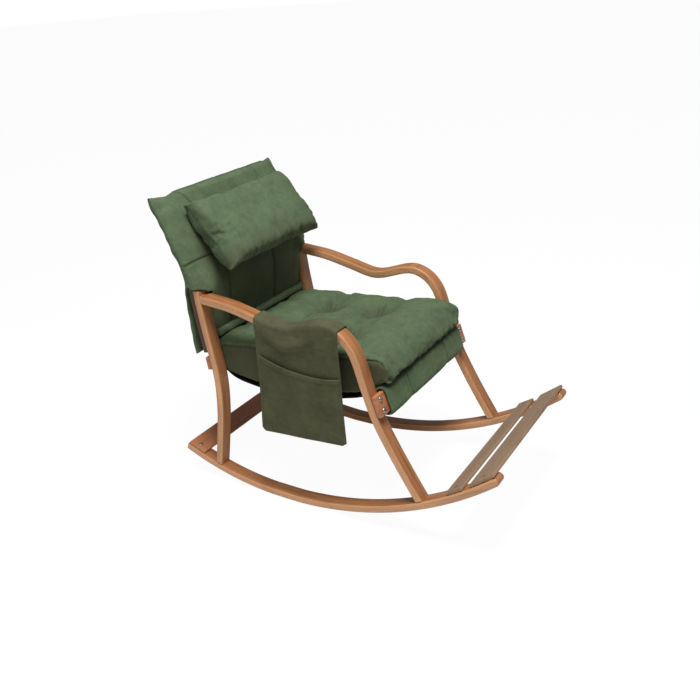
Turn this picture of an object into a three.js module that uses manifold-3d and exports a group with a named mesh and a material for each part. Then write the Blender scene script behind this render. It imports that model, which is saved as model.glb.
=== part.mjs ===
// Bentwood rocking chair with a slung seat, a tufted seat cushion, a head pillow and a side pocket.
// Millimetres, +Z up, +X to the sitter's left, the sitter faces -Y.
// Side views are drawn as [y, z] points. The finished group is tipped into the stance that the
// chair rests in, and moved so that the origin lies at the bottom centre of its box.
import * as THREE from 'three';
import { mergeVertices } from 'three/addons/utils/BufferGeometryUtils.js';
import Module from 'manifold-3d';

const wasm = await Module();
wasm.setup();

// ---------- Driving dimensions ----------
const SIDE_X = 255; // centre plane of each side frame
const MEMBER_WIDTH = 42; // bentwood members, across the chair
const MEMBER_THICKNESS = 25; // bentwood members, in the side view
const GAP = 0.3; // clearance between pieces that rest on each other

const ROCKER_LOW = [232, 3]; // lowest point of the running surface, where its two arcs meet
const ROCKER_RADIUS = { front: 1092, rear: 920 };
const ROCKER_STEP = 1.5; // degrees between outline points
const STANCE = 4.5; // degrees that the chair tips forward to rest with its weight over its feet
const STANCE_FLAT = 5.2; // degrees of the front arc that are one flat facet, to stand on
const ROCKER_FRONT_ANGLE = 44.6; // degrees from the lowest point to the front tip
const ROCKER_REAR_ANGLE = 19.7;
const FRONT_LEG_ANGLE = 30.3; // where the front leg stands on the rocker
const REAR_LEG_ANGLE = -11.1;
const LEG_TOP_ROUNDING = 9;

const RAIL_THICKNESS = 15;
const RAIL_GAP = 1; // a straight rail across a slightly curved leg
const FRONT_RAIL = { height: 62, legZ: 424, boltSpread: 17 };
const REAR_RAIL = { height: 40, legZ: 410, boltSpread: 10 };
const SLAT_THICKNESS = 9;
const REAR_PLANK = { angle: -17.3, width: 65 };
const FOOT_SLAT_REAR = { angle: 37.1, width: 54 };
const FOOT_SLAT_FRONT = { angle: 42.3, width: 83 };

const POST_WIDTH = 34;
const POST_THICKNESS = 18;
const POST_GAP = 0.6;
const POST_BOLT_Z = 470;
const ARM_BOLT_Z = 604;
const BACK_SLAT = { width: 44, thickness: 10, setBack: 2 };
const BACK_SLAT_HEIGHTS = [530, 605, 680, 768, 848];

const COVER_HALF_WIDTH = 288;
const COVER_SHEET = 4;
const COVER_SPLIT_Z = 648; // below this the cover parts into a front panel and a rear flap
const FLAP_HALF_WIDTH = 274;
const PANEL_HALF_WIDTH = 230;
const ROLL = { radius: 12, halfWidth: 226, centre: [412, 488] };

const SLING_HALF_WIDTH = 223;
const SLING_THICKNESS = 5;
const SLING_WRAP = 4.5; // from a rail's corner to the middle of the sling's cloth
const SLING_TAIL = 12; // how far its rear end climbs the back of the rear rail
const CUSHION_HALF_WIDTH = 229;
const PILLOW = { width: 452, height: 235, thickness: 96, edge: 10, centre: [422, 789], tilt: 45 };
const PILLOW_WAIST = 0.05; // how far its long sides are drawn in at mid-length

const CLOTH = 3; // pocket cloth
const POCKET_OUTER_X = 288;
const POCKET_CLEARANCE = 0.5; // from the cloth to the arm's sides
const POCKET_TOP_Y = [-52, 236]; // the stretch of arm that the pocket's saddle covers
const SADDLE_BOTTOM_Z = 578;
const PATCH_CLOTH = 1.5;

const BOLT = { shank: 3, head: 6.5, headHeight: 4 };
const SCREW = { shank: 2.2, head: 5, headHeight: 2.5 };
const LEG_BOLT_RECESS = 7;
const SCREW_RECESS = 3.2;

// ---------- Side-view lines, [y, z] ----------
const REAR_LEG_LINE = [
  [412, 10], [404.5, 60], [393.5, 150], [384.5, 240], [383.5, 330], [392, 400], [408, 470],
  [423.5, 540], [441.5, 640],
];
const ARM_LINE = [
  [450, 613], [400, 612], [318, 609], [228, 595], [150, 581.5], [108, 586], [66, 602],
  [25, 618], [-12, 623], [-52, 610], [-84, 582], [-104, 546], [-121, 500], [-144, 442],
  [-171.5, 380], [-220, 301], [-264, 236], [-301, 184], [-330, 145],
];
const POST_ALONG_LEG_Z = [445, 465, 485, 505, 525, 545, 565, 585, 605, 625];
const POST_UPPER_LINE = [
  [463.5, 655], [466, 685], [474, 712], [488.5, 741], [513.5, 785], [540.5, 832], [566, 877],
];
const COVER_LINE = [
  [463, 428], [466, 458], [472, 507], [479, 571], [480, 629], [479, 655], [481, 680],
  [488, 708], [507, 743], [532, 787], [560, 834], [584, 876], [586, 889], [577, 896],
  [561, 892], [547, 876], [521, 834], [493, 787], [468, 743], [448, 705], [433, 675],
  [425, 645], [423, 605], [427, 545], [429, 500], [431, 442],
];
const SLING_SAG_LINE = [
  [-120, 433], [-90, 417], [-50, 402], [30, 377], [120, 357], [200, 347.5], [260, 345],
  [320, 348], [352, 353], [374, 362], [389, 374],
];
const CUSHION_OUTLINE = [
  [-172, 480], [-156, 474], [-128, 450], [-98, 429], [-50, 412], [30, 388], [120, 368],
  [200, 358], [260, 355], [320, 358], [350, 364], [372, 376], [388, 393], [395, 410],
  [396, 460], [386, 475], [300, 500], [182, 517], [32, 537], [-39, 548], [-108, 559],
  [-148, 560], [-168, 546], [-174, 520],
];
const POCKET_PANEL = [
  [238, 575], [215, 520], [208, 490], [212, 254], [200, 242], [-70, 281], [-82, 292],
  [-60, 500], [-54, 575],
];
const PATCH_MOUTH = [[-60, 500], [-6, 479], [44, 472], [94, 478], [144, 491], [208, 499]];
const PATCH_BOTTOM = [[212, 254], [200, 242], [-70, 281], [-82, 292]];
const CAVITY_MOUTH = [[-54, 530], [202, 530]];
const CAVITY_BOTTOM = [[206, 258], [197, 249], [-65, 287], [-75, 296]];

// ---------- Materials ----------
const standard = (color, roughness, metalness = 0) =>
  new THREE.MeshStandardMaterial({ color, roughness, metalness });
const WOOD = standard(0xb9835c, 0.5);
const SLAT_WOOD = standard(0x9a7e68, 0.6);
const STEEL = standard(0xb8b8b4, 0.35, 0.9);
const GREEN_FABRIC = standard(0x4e6549, 0.9);
const POCKET_FABRIC = standard(0x4c4e39, 0.9);
const SLING_FABRIC = standard(0x23271f, 0.95);

// ---------- Lines and outlines in the side view ----------
const HALF = MEMBER_THICKNESS / 2;
const vector = ([y, z]) => new THREE.Vector2(y, z);
const polygon = (points) => new THREE.Shape(points.map(vector));

// A frame is a point on a line, the direction t of the line there, and the normal n to its left.
function frameAt(point, direction) {
  const t = direction.clone().normalize();
  return { p: point, t, n: new THREE.Vector2(-t.y, t.x) };
}

const shifted = (frame, along, across) =>
  frame.p.clone().addScaledVector(frame.t, along).addScaledVector(frame.n, across);

function splineFrames(points, count) {
  const curve = new THREE.SplineCurve(points);
  return Array.from({ length: count + 1 }, (_, i) =>
    frameAt(curve.getPointAt(i / count), curve.getTangentAt(i / count)));
}

// Frames at the given points themselves, each looking from its neighbour before to the one after.
function polylineFrames(points) {
  const last = points.length - 1;
  return points.map((point, i) =>
    frameAt(point, points[Math.min(i + 1, last)].clone().sub(points[Math.max(i - 1, 0)])));
}

function frameAtHeight(frames, z) {
  const miss = (frame) => Math.abs(frame.p.y - z);
  return frames.reduce((best, frame) => (miss(frame) < miss(best) ? frame : best));
}

// Outline round the end of a strip, from one offset to the other, with rounded corners.
// `sense` is 1 at the end of the line and -1 at its start.
function endPoints(frame, sense, from, to, radius) {
  if (radius === 0) return [shifted(frame, 0, from), shifted(frame, 0, to)];
  const inward = Math.sign(to - from) * radius;
  const corner = (centre, start) => [0, 1, 2, 3].map((i) => {
    const turn = start + (i * Math.PI) / 6;
    return shifted(frame, sense * radius * (Math.sin(turn) - 1), centre - inward * Math.cos(turn));
  });
  return [...corner(from + inward, 0), ...corner(to - inward, Math.PI / 2)];
}

function withoutRepeats(points) {
  return points.filter((point, i) => i === 0 || point.distanceTo(points[i - 1]) > 0.05);
}

// Strip along a line between two offsets from it.
function stripShape(frames, low, high, startRadius = 0, endRadius = 0) {
  const middle = frames.slice(1, -1);
  return new THREE.Shape(withoutRepeats([
    ...endPoints(frames[0], -1, high, low, startRadius),
    ...middle.map((frame) => shifted(frame, 0, low)),
    ...endPoints(frames[frames.length - 1], 1, low, high, endRadius),
    ...middle.reverse().map((frame) => shifted(frame, 0, high)),
  ]));
}

// Rectangle centred at an offset from a frame, `width` along the line.
function plankShape(frame, across, width, thickness) {
  const corners = [[-0.5, -0.5], [0.5, -0.5], [0.5, 0.5], [-0.5, 0.5]];
  return new THREE.Shape(corners.map(([u, v]) =>
    shifted(frame, u * width, across + v * thickness)));
}

// Points round a corner at (along, across) from a frame; angles in degrees from the line.
function cornerArc(frame, along, across, radius, angles) {
  return angles.map((degrees) => {
    const angle = THREE.MathUtils.degToRad(degrees);
    return shifted(frame, along + radius * Math.cos(angle), across + radius * Math.sin(angle));
  });
}

// ---------- Solids ----------
const SIDE_VIEW = new THREE.Matrix4().makeBasis(
  new THREE.Vector3(0, 1, 0), new THREE.Vector3(0, 0, 1), new THREE.Vector3(1, 0, 0));

// A side-view shape made solid between two X planes.
function slab(shape, x0, x1) {
  const geometry = new THREE.ExtrudeGeometry(shape,
    { depth: x1 - x0, steps: 1, bevelEnabled: false });
  return geometry.applyMatrix4(SIDE_VIEW).translate(x0, 0, 0);
}

const block = (y0, y1, z0, z1, x0, x1) =>
  slab(polygon([[y0, z0], [y1, z0], [y1, z1], [y0, z1]]), x0, x1);

function toSolid(geometry) {
  const bare = geometry.clone();
  bare.deleteAttribute('normal');
  bare.deleteAttribute('uv');
  const merged = mergeVertices(bare, 1e-3);
  return new wasm.Manifold(new wasm.Mesh({
    numProp: 3,
    vertProperties: new Float32Array(merged.attributes.position.array),
    triVerts: new Uint32Array(merged.index.array),
  }));
}

function toGeometry(solid) {
  const { vertProperties, triVerts } = solid.getMesh();
  const geometry = new THREE.BufferGeometry();
  geometry.setAttribute('position', new THREE.BufferAttribute(vertProperties, 3));
  geometry.setIndex(new THREE.BufferAttribute(triVerts, 1));
  geometry.computeVertexNormals();
  return geometry;
}

const cut = (geometry, cutters) => toGeometry(
  cutters.reduce((solid, cutter) => solid.subtract(toSolid(cutter)), toSolid(geometry)));
const join = (geometry, others) => toGeometry(
  others.reduce((solid, other) => solid.add(toSolid(other)), toSolid(geometry)));

// ---------- Lines of the frame ----------
// Left of the rocker's line is below it, left of the rear leg's and back post's lines is in
// front of them, and left of the arm's line is below it and, down the front leg, behind it.
const rockerRadius = (degrees) => (degrees > 0 ? ROCKER_RADIUS.front : ROCKER_RADIUS.rear);

function rockerFrame(degrees) {
  const angle = THREE.MathUtils.degToRad(degrees);
  const outer = rockerRadius(degrees);
  const inner = outer - HALF;
  const [lowY, lowZ] = ROCKER_LOW;
  const point = vector([lowY - inner * Math.sin(angle), lowZ + outer - inner * Math.cos(angle)]);
  return frameAt(point, vector([-Math.cos(angle), Math.sin(angle)]));
}

// Outline points along both arcs, with none inside the facet that the chair stands on.
function rockerFrames() {
  const angles = [STANCE - STANCE_FLAT / 2, STANCE + STANCE_FLAT / 2, ROCKER_FRONT_ANGLE];
  const spare = STANCE_FLAT / 2 + ROCKER_STEP / 3;
  for (let angle = -ROCKER_REAR_ANGLE; angle < ROCKER_FRONT_ANGLE - 1; angle += ROCKER_STEP) {
    if (Math.abs(angle - STANCE) > spare) angles.push(angle);
  }
  return angles.sort((a, b) => a - b).map(rockerFrame);
}

const legFrames = splineFrames(REAR_LEG_LINE.map(vector), 36);
const armFrames = splineFrames(ARM_LINE.map(vector), 84);
const fineLegFrames = splineFrames(REAR_LEG_LINE.map(vector), 600);
const fineArmFrames = splineFrames(ARM_LINE.map(vector), 1000);

const postOffset = -(HALF + POST_GAP + POST_THICKNESS / 2);
const postLine = [
  ...POST_ALONG_LEG_Z.map((z) => shifted(frameAtHeight(fineLegFrames, z), 0, postOffset)),
  ...POST_UPPER_LINE.map(vector),
];
const postFrames = splineFrames(postLine, 36);
const finePostFrames = splineFrames(postLine, 500);

const railAcross = -(HALF + RAIL_GAP + RAIL_THICKNESS / 2);
const frontRailFrame = frameAtHeight(fineArmFrames, FRONT_RAIL.legZ);
const rearRailFrame = frameAtHeight(fineLegFrames, REAR_RAIL.legZ);

// A flat plank touches the hollow top of the rocker only at its edges.
const rockerRise = ({ angle, width }) =>
  GAP + (width * width) / (8 * (rockerRadius(angle) - MEMBER_THICKNESS));
const plankTop = (plank) => -(HALF + rockerRise(plank) + SLAT_THICKNESS);

// ---------- Fasteners ----------
const Y_AXIS = new THREE.Vector3(0, 1, 0);

// Turns a shape on the Y axis so that +Y points back out of the hole, and moves it to its place.
function turned(geometry, x, point, direction) {
  const outward = new THREE.Vector3(0, -direction.x, -direction.y);
  geometry.applyQuaternion(new THREE.Quaternion().setFromUnitVectors(Y_AXIS, outward));
  return geometry.translate(x, point.x, point.y);
}

// Solid of a round hole from `above` the surface to `below` it.
const holeGeometry = (radius, above, below) =>
  new THREE.CylinderGeometry(radius, radius, above + below, 10)
    .translate(0, (above - below) / 2, 0);

function fastenerGeometry({ shank, head, headHeight }, length) {
  const profile = [
    [0, -length], [shank, -length], [shank, GAP], [head, GAP], [head, headHeight * 0.35],
    [head * 0.7, headHeight * 0.85], [0, headHeight],
  ];
  return new THREE.LatheGeometry(profile.map(vector), 10);
}

// Each entry: the point on the surface under the head, the direction it is driven in, its length.
const front = (frame) => frame.n.clone();
const frontRailFace = -(HALF + RAIL_GAP + RAIL_THICKNESS);
const postFace = -(HALF + POST_GAP + POST_THICKNESS);
const railBolt = (frame, along) => ({
  kind: BOLT, point: shifted(frame, along, frontRailFace), direction: front(frame), length: 34,
});
function postBolt(z, length) {
  const frame = frameAtHeight(fineLegFrames, z);
  return { kind: BOLT, point: shifted(frame, 0, postFace), direction: front(frame), length };
}
function legBolt(angle) {
  const frame = rockerFrame(angle);
  const point = shifted(frame, 0, HALF - LEG_BOLT_RECESS);
  return { kind: BOLT, point, direction: front(frame).negate(), length: 60 };
}
function plankScrew(plank) {
  const frame = rockerFrame(plank.angle);
  const point = shifted(frame, 0, plankTop(plank) + SCREW_RECESS);
  return { kind: SCREW, point, direction: front(frame), length: 25 };
}
const FASTENERS = {
  front_rail_bolt_upper: railBolt(frontRailFrame, -FRONT_RAIL.boltSpread),
  front_rail_bolt_lower: railBolt(frontRailFrame, FRONT_RAIL.boltSpread),
  rear_rail_bolt_upper: railBolt(rearRailFrame, REAR_RAIL.boltSpread),
  rear_rail_bolt_lower: railBolt(rearRailFrame, -REAR_RAIL.boltSpread),
  arm_bolt: postBolt(ARM_BOLT_Z, 84),
  back_post_bolt: postBolt(POST_BOLT_Z, 36),
  front_leg_bolt: legBolt(FRONT_LEG_ANGLE),
  rear_leg_bolt: legBolt(REAR_LEG_ANGLE),
  rear_plank_screw: plankScrew(REAR_PLANK),
  foot_slat_rear_screw: plankScrew(FOOT_SLAT_REAR),
  foot_slat_front_screw: plankScrew(FOOT_SLAT_FRONT),
};

function holes(names, xs) {
  return names.flatMap((name) => xs.map((x) => {
    const { kind, point, direction, length } = FASTENERS[name];
    return turned(holeGeometry(kind.shank + GAP, 3, length + 2), x, point, direction);
  }));
}

function recesses(names, xs) {
  return names.flatMap((name) => xs.map((x) => {
    const { kind, point, direction } = FASTENERS[name];
    return turned(holeGeometry(kind.head + GAP, 20, 0), x, point, direction);
  }));
}

// ---------- Wooden pieces ----------
// Paired pieces are drawn about X = 0 and placed on each side.
const memberSlab = (shape) => slab(shape, -MEMBER_WIDTH / 2, MEMBER_WIDTH / 2);
const belowRockerTop = () => slab(stripShape(rockerFrames(), -(HALF + GAP), 90), -40, 40);
const behindLegFront = () => slab(stripShape(legFrames, -90, HALF + GAP), -40, 40);

function rocker() {
  const shape = stripShape(rockerFrames(), -HALF, HALF, 5, HALF);
  const legBolts = ['front_leg_bolt', 'rear_leg_bolt'];
  const screws = ['rear_plank_screw', 'foot_slat_rear_screw', 'foot_slat_front_screw'];
  return cut(memberSlab(shape),
    [...holes([...legBolts, ...screws], [0]), ...recesses(legBolts, [0])]);
}

function rearLeg() {
  const shape = stripShape(legFrames, -HALF, HALF, 0, LEG_TOP_ROUNDING);
  const bolts = ['rear_rail_bolt_upper', 'rear_rail_bolt_lower', 'arm_bolt', 'back_post_bolt',
    'rear_leg_bolt'];
  return cut(memberSlab(shape), [belowRockerTop(), ...holes(bolts, [0])]);
}

function armAndFrontLeg() {
  const bolts = ['front_rail_bolt_upper', 'front_rail_bolt_lower', 'arm_bolt', 'front_leg_bolt'];
  return cut(memberSlab(stripShape(armFrames, -HALF, HALF)),
    [belowRockerTop(), behindLegFront(), ...holes(bolts, [0])]);
}

function backPost() {
  const half = POST_THICKNESS / 2;
  const shape = stripShape(postFrames, -half, half);
  return cut(slab(shape, -POST_WIDTH / 2, POST_WIDTH / 2),
    holes(['arm_bolt', 'back_post_bolt'], [0]));
}

const HALF_LENGTH = SIDE_X + MEMBER_WIDTH / 2 - 2; // planks stop just short of the sides
const SIDES = [-SIDE_X, SIDE_X];

const crossPlank = (shape, cutters) => cut(slab(shape, -HALF_LENGTH, HALF_LENGTH), cutters);

function rockerPlank(plank, screw) {
  const frame = rockerFrame(plank.angle);
  const across = plankTop(plank) + SLAT_THICKNESS / 2;
  return crossPlank(plankShape(frame, across, plank.width, SLAT_THICKNESS),
    [...holes([screw], SIDES), ...recesses([screw], SIDES)]);
}

function backSlat(z) {
  const half = SIDE_X - POST_WIDTH / 2 - GAP;
  const frame = frameAtHeight(finePostFrames, z);
  const { width, thickness, setBack } = BACK_SLAT;
  return slab(plankShape(frame, -setBack, width, thickness), -half, half);
}

// ---------- Soft pieces ----------
// Sleeve over the posts, open below, with a panel that passes between the rear legs and a flap
// that hangs behind them.
function backCover() {
  const frames = splineFrames(COVER_LINE.map(vector), 72);
  const sheet = slab(stripShape(frames, 0, COVER_SHEET), -COVER_HALF_WIDTH, COVER_HALF_WIDTH);
  const outer = new THREE.Shape(frames.map((frame) => frame.p));
  const inside = COVER_HALF_WIDTH - COVER_SHEET;
  const below = (y0, y1, x0, x1) => block(y0, y1, 380, COVER_SPLIT_Z, x0, x1);
  const middleY = 450;
  const edges = [-1, 1].flatMap((sign) => {
    const between = (a, b) => [Math.min(sign * a, sign * b), Math.max(sign * a, sign * b)];
    return [below(middleY, 500, ...between(FLAP_HALF_WIDTH, 300)),
      below(400, middleY, ...between(PANEL_HALF_WIDTH, 300))];
  });
  const walls = [-COVER_HALF_WIDTH, inside].map((x) =>
    cut(slab(outer, x, x + COVER_SHEET), [below(400, 500, x - 5, x + 10)]));
  return join(cut(sheet, edges), walls);
}

function backRoll() {
  const geometry = new THREE.CylinderGeometry(ROLL.radius, ROLL.radius, 2 * ROLL.halfWidth, 16);
  return geometry.rotateZ(Math.PI / 2).translate(0, ...ROLL.centre);
}

// Cloth that wraps the front rail, sags under the cushion and hooks round the rear rail.
function seatSling() {
  const half = RAIL_THICKNESS / 2;
  const top = FRONT_RAIL.height / 2;
  const bottom = REAR_RAIL.height / 2;
  const line = [
    shifted(frontRailFrame, top + SLING_WRAP, railAcross + half),
    ...cornerArc(frontRailFrame, top, railAcross - half, SLING_WRAP, [0, -45, -90]),
    ...cornerArc(frontRailFrame, -top, railAcross - half, SLING_WRAP, [-90, -135, -180]),
    ...cornerArc(frontRailFrame, -top, railAcross + half, SLING_WRAP, [-180, -225]),
    ...new THREE.SplineCurve(SLING_SAG_LINE.map(vector)).getSpacedPoints(24),
    ...cornerArc(rearRailFrame, -bottom, railAcross + half, SLING_WRAP, [140, 180]),
    ...cornerArc(rearRailFrame, -bottom, railAcross - half, SLING_WRAP, [180, 225, 270]),
    shifted(rearRailFrame, SLING_TAIL, railAcross - half - SLING_WRAP),
  ];
  const thick = SLING_THICKNESS / 2;
  const shape = stripShape(polylineFrames(line), -thick, thick);
  return slab(shape, -SLING_HALF_WIDTH, SLING_HALF_WIDTH);
}

const seatCushion = () =>
  slab(polygon(CUSHION_OUTLINE), -CUSHION_HALF_WIDTH, CUSHION_HALF_WIDTH);

// A stuffed rectangle: thick in the middle, thin at the seam, its long sides drawn in.
function pillow() {
  const geometry = new THREE.BoxGeometry(2, 2, 2, 10, 6, 1);
  const { array } = geometry.attributes.position;
  for (let i = 0; i < array.length; i += 3) {
    const [u, v, w] = array.slice(i, i + 3);
    const fullness = Math.sqrt((1 - Math.abs(u) ** 2.6) * (1 - Math.abs(v) ** 2.6));
    const half = PILLOW.edge / 2 + (PILLOW.thickness - PILLOW.edge) * 0.5 * fullness;
    array[i] = u * (PILLOW.width / 2);
    array[i + 1] = v * (PILLOW.height / 2) * (1 - PILLOW_WAIST * (1 - u * u));
    array[i + 2] = w * half;
  }
  return geometry;
}

const POCKET_X = SIDE_X + MEMBER_WIDTH / 2 + POCKET_CLEARANCE; // inner side of the hanging cloth

// Cloth over the arm, with a short turn-down inside and a skirt outside it.
function pocketSaddle() {
  const [yFront, yRear] = POCKET_TOP_Y;
  const frames = armFrames.filter(({ p }) => p.x > yFront && p.x < yRear && p.y > SADDLE_BOTTOM_Z);
  const under = -(HALF + POCKET_CLEARANCE);
  const inner = SIDE_X - MEMBER_WIDTH / 2 - POCKET_CLEARANCE;
  const overArm = slab(stripShape(frames, under - CLOTH, under), -POCKET_X - CLOTH,
    -inner + CLOTH);
  const turnDown = slab(stripShape(frames, under - CLOTH, HALF - 4), -inner, -inner + CLOTH);
  const skirtShape = new THREE.Shape([
    ...frames.map((frame) => shifted(frame, 0, under - CLOTH)),
    vector([frames[frames.length - 1].p.x, SADDLE_BOTTOM_Z]),
    vector([frames[0].p.x, SADDLE_BOTTOM_Z]),
  ]);
  return join(overArm, [turnDown, slab(skirtShape, -POCKET_X - CLOTH, -POCKET_X)]);
}

// Hanging panel with a patch pocket on its outside, open at the top.
function pocketBag() {
  const outer = -POCKET_OUTER_X;
  const back = -POCKET_X - CLOTH;
  const panel = slab(polygon(POCKET_PANEL), back, -POCKET_X);
  const patch = slab(polygon([...PATCH_MOUTH, ...PATCH_BOTTOM]), outer, back + 1);
  const cavity = slab(polygon([...CAVITY_MOUTH, ...CAVITY_BOTTOM]), outer + PATCH_CLOTH, back);
  return cut(join(panel, [patch]), [cavity]);
}

// ---------- Assembly ----------
const chair = new THREE.Group();

function place(name, geometry, material, x = 0) {
  const mesh = new THREE.Mesh(geometry, material);
  mesh.name = name;
  mesh.position.x = x;
  chair.add(mesh);
  return mesh;
}

function placeBothSides(name, geometry, material) {
  place(`right_${name}`, geometry, material, -SIDE_X);
  place(`left_${name}`, geometry, material, SIDE_X);
}

placeBothSides('rocker', rocker(), WOOD);
placeBothSides('rear_leg', rearLeg(), WOOD);
placeBothSides('arm_and_front_leg', armAndFrontLeg(), WOOD);
placeBothSides('back_post', backPost(), WOOD);

place('front_rail', crossPlank(
  plankShape(frontRailFrame, railAcross, FRONT_RAIL.height, RAIL_THICKNESS),
  holes(['front_rail_bolt_upper', 'front_rail_bolt_lower'], SIDES)), WOOD);
place('rear_rail', crossPlank(
  plankShape(rearRailFrame, railAcross, REAR_RAIL.height, RAIL_THICKNESS),
  holes(['rear_rail_bolt_upper', 'rear_rail_bolt_lower'], SIDES)), WOOD);
place('rear_cross_plank', rockerPlank(REAR_PLANK, 'rear_plank_screw'), WOOD);
place('foot_slat_rear', rockerPlank(FOOT_SLAT_REAR, 'foot_slat_rear_screw'), SLAT_WOOD);
place('foot_slat_front', rockerPlank(FOOT_SLAT_FRONT, 'foot_slat_front_screw'), SLAT_WOOD);
BACK_SLAT_HEIGHTS.forEach((z, i) => place(`back_slat_${i + 1}`, backSlat(z), WOOD));

Object.entries(FASTENERS).forEach(([name, { kind, point, direction, length }]) => {
  const geometry = turned(fastenerGeometry(kind, length), 0, point, direction);
  placeBothSides(name, geometry, STEEL);
});

place('back_cover', backCover(), GREEN_FABRIC);
place('back_roll', backRoll(), GREEN_FABRIC);
place('seat_sling', seatSling(), SLING_FABRIC);
place('seat_cushion', seatCushion(), GREEN_FABRIC);
const headPillow = place('head_pillow', pillow(), GREEN_FABRIC);
headPillow.position.set(0, ...PILLOW.centre);
headPillow.rotation.x = THREE.MathUtils.degToRad(PILLOW.tilt);
place('pocket_saddle', pocketSaddle(), POCKET_FABRIC);
place('pocket_bag', pocketBag(), POCKET_FABRIC);

// The origin goes to the bottom centre of the whole chair's box.
chair.rotation.x = THREE.MathUtils.degToRad(STANCE);
const box = new THREE.Box3().setFromObject(chair, true);
const centre = box.getCenter(new THREE.Vector3());
chair.position.set(-centre.x, -centre.y, -box.min.z);
chair.updateMatrixWorld(true);

export default chair;
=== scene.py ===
"""Bentwood rocking chair: rounded wood, fasteners and sewn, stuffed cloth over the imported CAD."""

import math

import bmesh
import bpy
import numpy as np
from mathutils import Matrix, Vector


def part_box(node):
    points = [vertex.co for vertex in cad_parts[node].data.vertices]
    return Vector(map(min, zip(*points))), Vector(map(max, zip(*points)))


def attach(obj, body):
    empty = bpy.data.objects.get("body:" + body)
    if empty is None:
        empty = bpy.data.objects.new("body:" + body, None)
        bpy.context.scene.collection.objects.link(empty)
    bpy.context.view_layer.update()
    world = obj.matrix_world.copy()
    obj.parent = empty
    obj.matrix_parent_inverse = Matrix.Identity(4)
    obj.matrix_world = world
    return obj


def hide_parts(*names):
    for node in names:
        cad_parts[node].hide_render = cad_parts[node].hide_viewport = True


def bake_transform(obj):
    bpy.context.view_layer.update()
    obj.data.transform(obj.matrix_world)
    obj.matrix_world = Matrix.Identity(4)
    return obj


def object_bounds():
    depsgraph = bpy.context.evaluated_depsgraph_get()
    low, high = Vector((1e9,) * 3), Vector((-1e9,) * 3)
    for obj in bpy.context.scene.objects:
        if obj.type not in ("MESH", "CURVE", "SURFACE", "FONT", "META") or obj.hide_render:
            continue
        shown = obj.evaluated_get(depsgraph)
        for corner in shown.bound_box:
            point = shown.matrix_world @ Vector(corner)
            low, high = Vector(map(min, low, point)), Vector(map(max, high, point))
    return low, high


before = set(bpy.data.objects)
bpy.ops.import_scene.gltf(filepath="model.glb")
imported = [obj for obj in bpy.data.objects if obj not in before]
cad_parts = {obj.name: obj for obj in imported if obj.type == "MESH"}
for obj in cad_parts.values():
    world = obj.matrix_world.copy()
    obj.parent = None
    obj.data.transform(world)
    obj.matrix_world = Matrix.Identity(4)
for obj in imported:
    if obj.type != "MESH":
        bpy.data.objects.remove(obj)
cad_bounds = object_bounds()

# ---------- Driving values, in metres and degrees ----------
STANCE = 4.5  # the chair leans forward by this much from the pose the camera was set up for
CAMERA_PLACE = (-1.895, -1.0653, 1.5274)  # before that lean
CAMERA_AZIMUTH = -58.7
CAMERA_ELEVATION = 26.9
CAMERA_LENS = 41.4

MEMBER_ROUNDING = 0.0055
POST_ROUNDING = 0.004
PLANK_ROUNDING = 0.0025
BUTT_ROUNDING = 0.0004  # at a member's cut ends
SHARP_ANGLE = math.radians(35)  # edges that turn by more are shaded sharp
OUTLINE_STEP = 0.006
LAYER = 0.0031  # one veneer of the laminated members
LAYER_LINE = 0.38

FLAP_HALF_WIDTH = 0.274
PANEL_HALF_WIDTH = 0.230
PANEL_REACH = 0.2335  # the cloth reaches the legs' inner faces
COVER_CLOTH = 0.0035

AMBIENT = 0.2
KEY_POWER = 125
FILL_POWER = 4
FLOOR_GLOW = 0.93  # share of the floor's brightness, as the camera sees it, that is its own
GLOW_STRENGTH = 1.03
FLOOR_REACH = 60.0

# ---------- Mesh helpers ----------


def make_object(name, points, faces):
    mesh = bpy.data.meshes.new(name)
    mesh.from_pydata([tuple(map(float, p)) for p in points], [], faces)
    mesh.validate()
    shade_smooth(mesh)
    piece = bpy.data.objects.new(name, mesh)
    bpy.context.scene.collection.objects.link(piece)
    return piece


def shade_smooth(mesh):
    mesh.polygons.foreach_set("use_smooth", [True] * len(mesh.polygons))


def grid_faces(rows, columns, closed, offset=0):
    """Quads between rows of points. A closed grid joins its last column to its first."""
    faces = []
    for i in range(rows - 1):
        for j in range(columns if closed else columns - 1):
            k = (j + 1) % columns
            a, b = offset + i * columns, offset + (i + 1) * columns
            faces.append((a + j, a + k, b + k, b + j))
    return faces


def capped_tube(rows, columns):
    """A closed grid's faces, with its first and last rows filled in."""
    ends = range(columns), range(rows * columns - 1, (rows - 1) * columns - 1, -1)
    return grid_faces(rows, columns, True) + [tuple(end) for end in ends]


def vertex_vectors(piece, field):
    flat = np.zeros(len(piece.data.vertices) * 3)
    piece.data.vertices.foreach_get(field, flat)
    return flat.reshape(-1, 3)


def coordinates(piece):
    return vertex_vectors(piece, "co")


def normals(piece):
    return vertex_vectors(piece, "normal")


def set_coordinates(piece, points):
    piece.data.vertices.foreach_set("co", np.asarray(points, float).ravel())
    piece.data.update()


def push_out(piece, move):
    """Moves each point along its normal."""
    set_coordinates(piece, coordinates(piece) + normals(piece) * move[:, None])


def set_attribute(piece, name, values, kind="FLOAT"):
    layer = piece.data.attributes.get(name) or piece.data.attributes.new(name, kind, "POINT")
    field = "vector" if kind == "FLOAT_VECTOR" else "value"
    layer.data.foreach_set(field, np.asarray(values, np.float32).ravel())


def modified(piece, kind, **settings):
    """Makes the result of a modifier the piece's own mesh."""
    modifier = piece.modifiers.new(kind.lower(), kind)
    for name, value in settings.items():
        setattr(modifier, name, value)
    graph = bpy.context.evaluated_depsgraph_get()
    baked = bpy.data.meshes.new_from_object(piece.evaluated_get(graph), depsgraph=graph)
    piece.modifiers.clear()
    piece.data = baked
    shade_smooth(baked)


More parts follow.
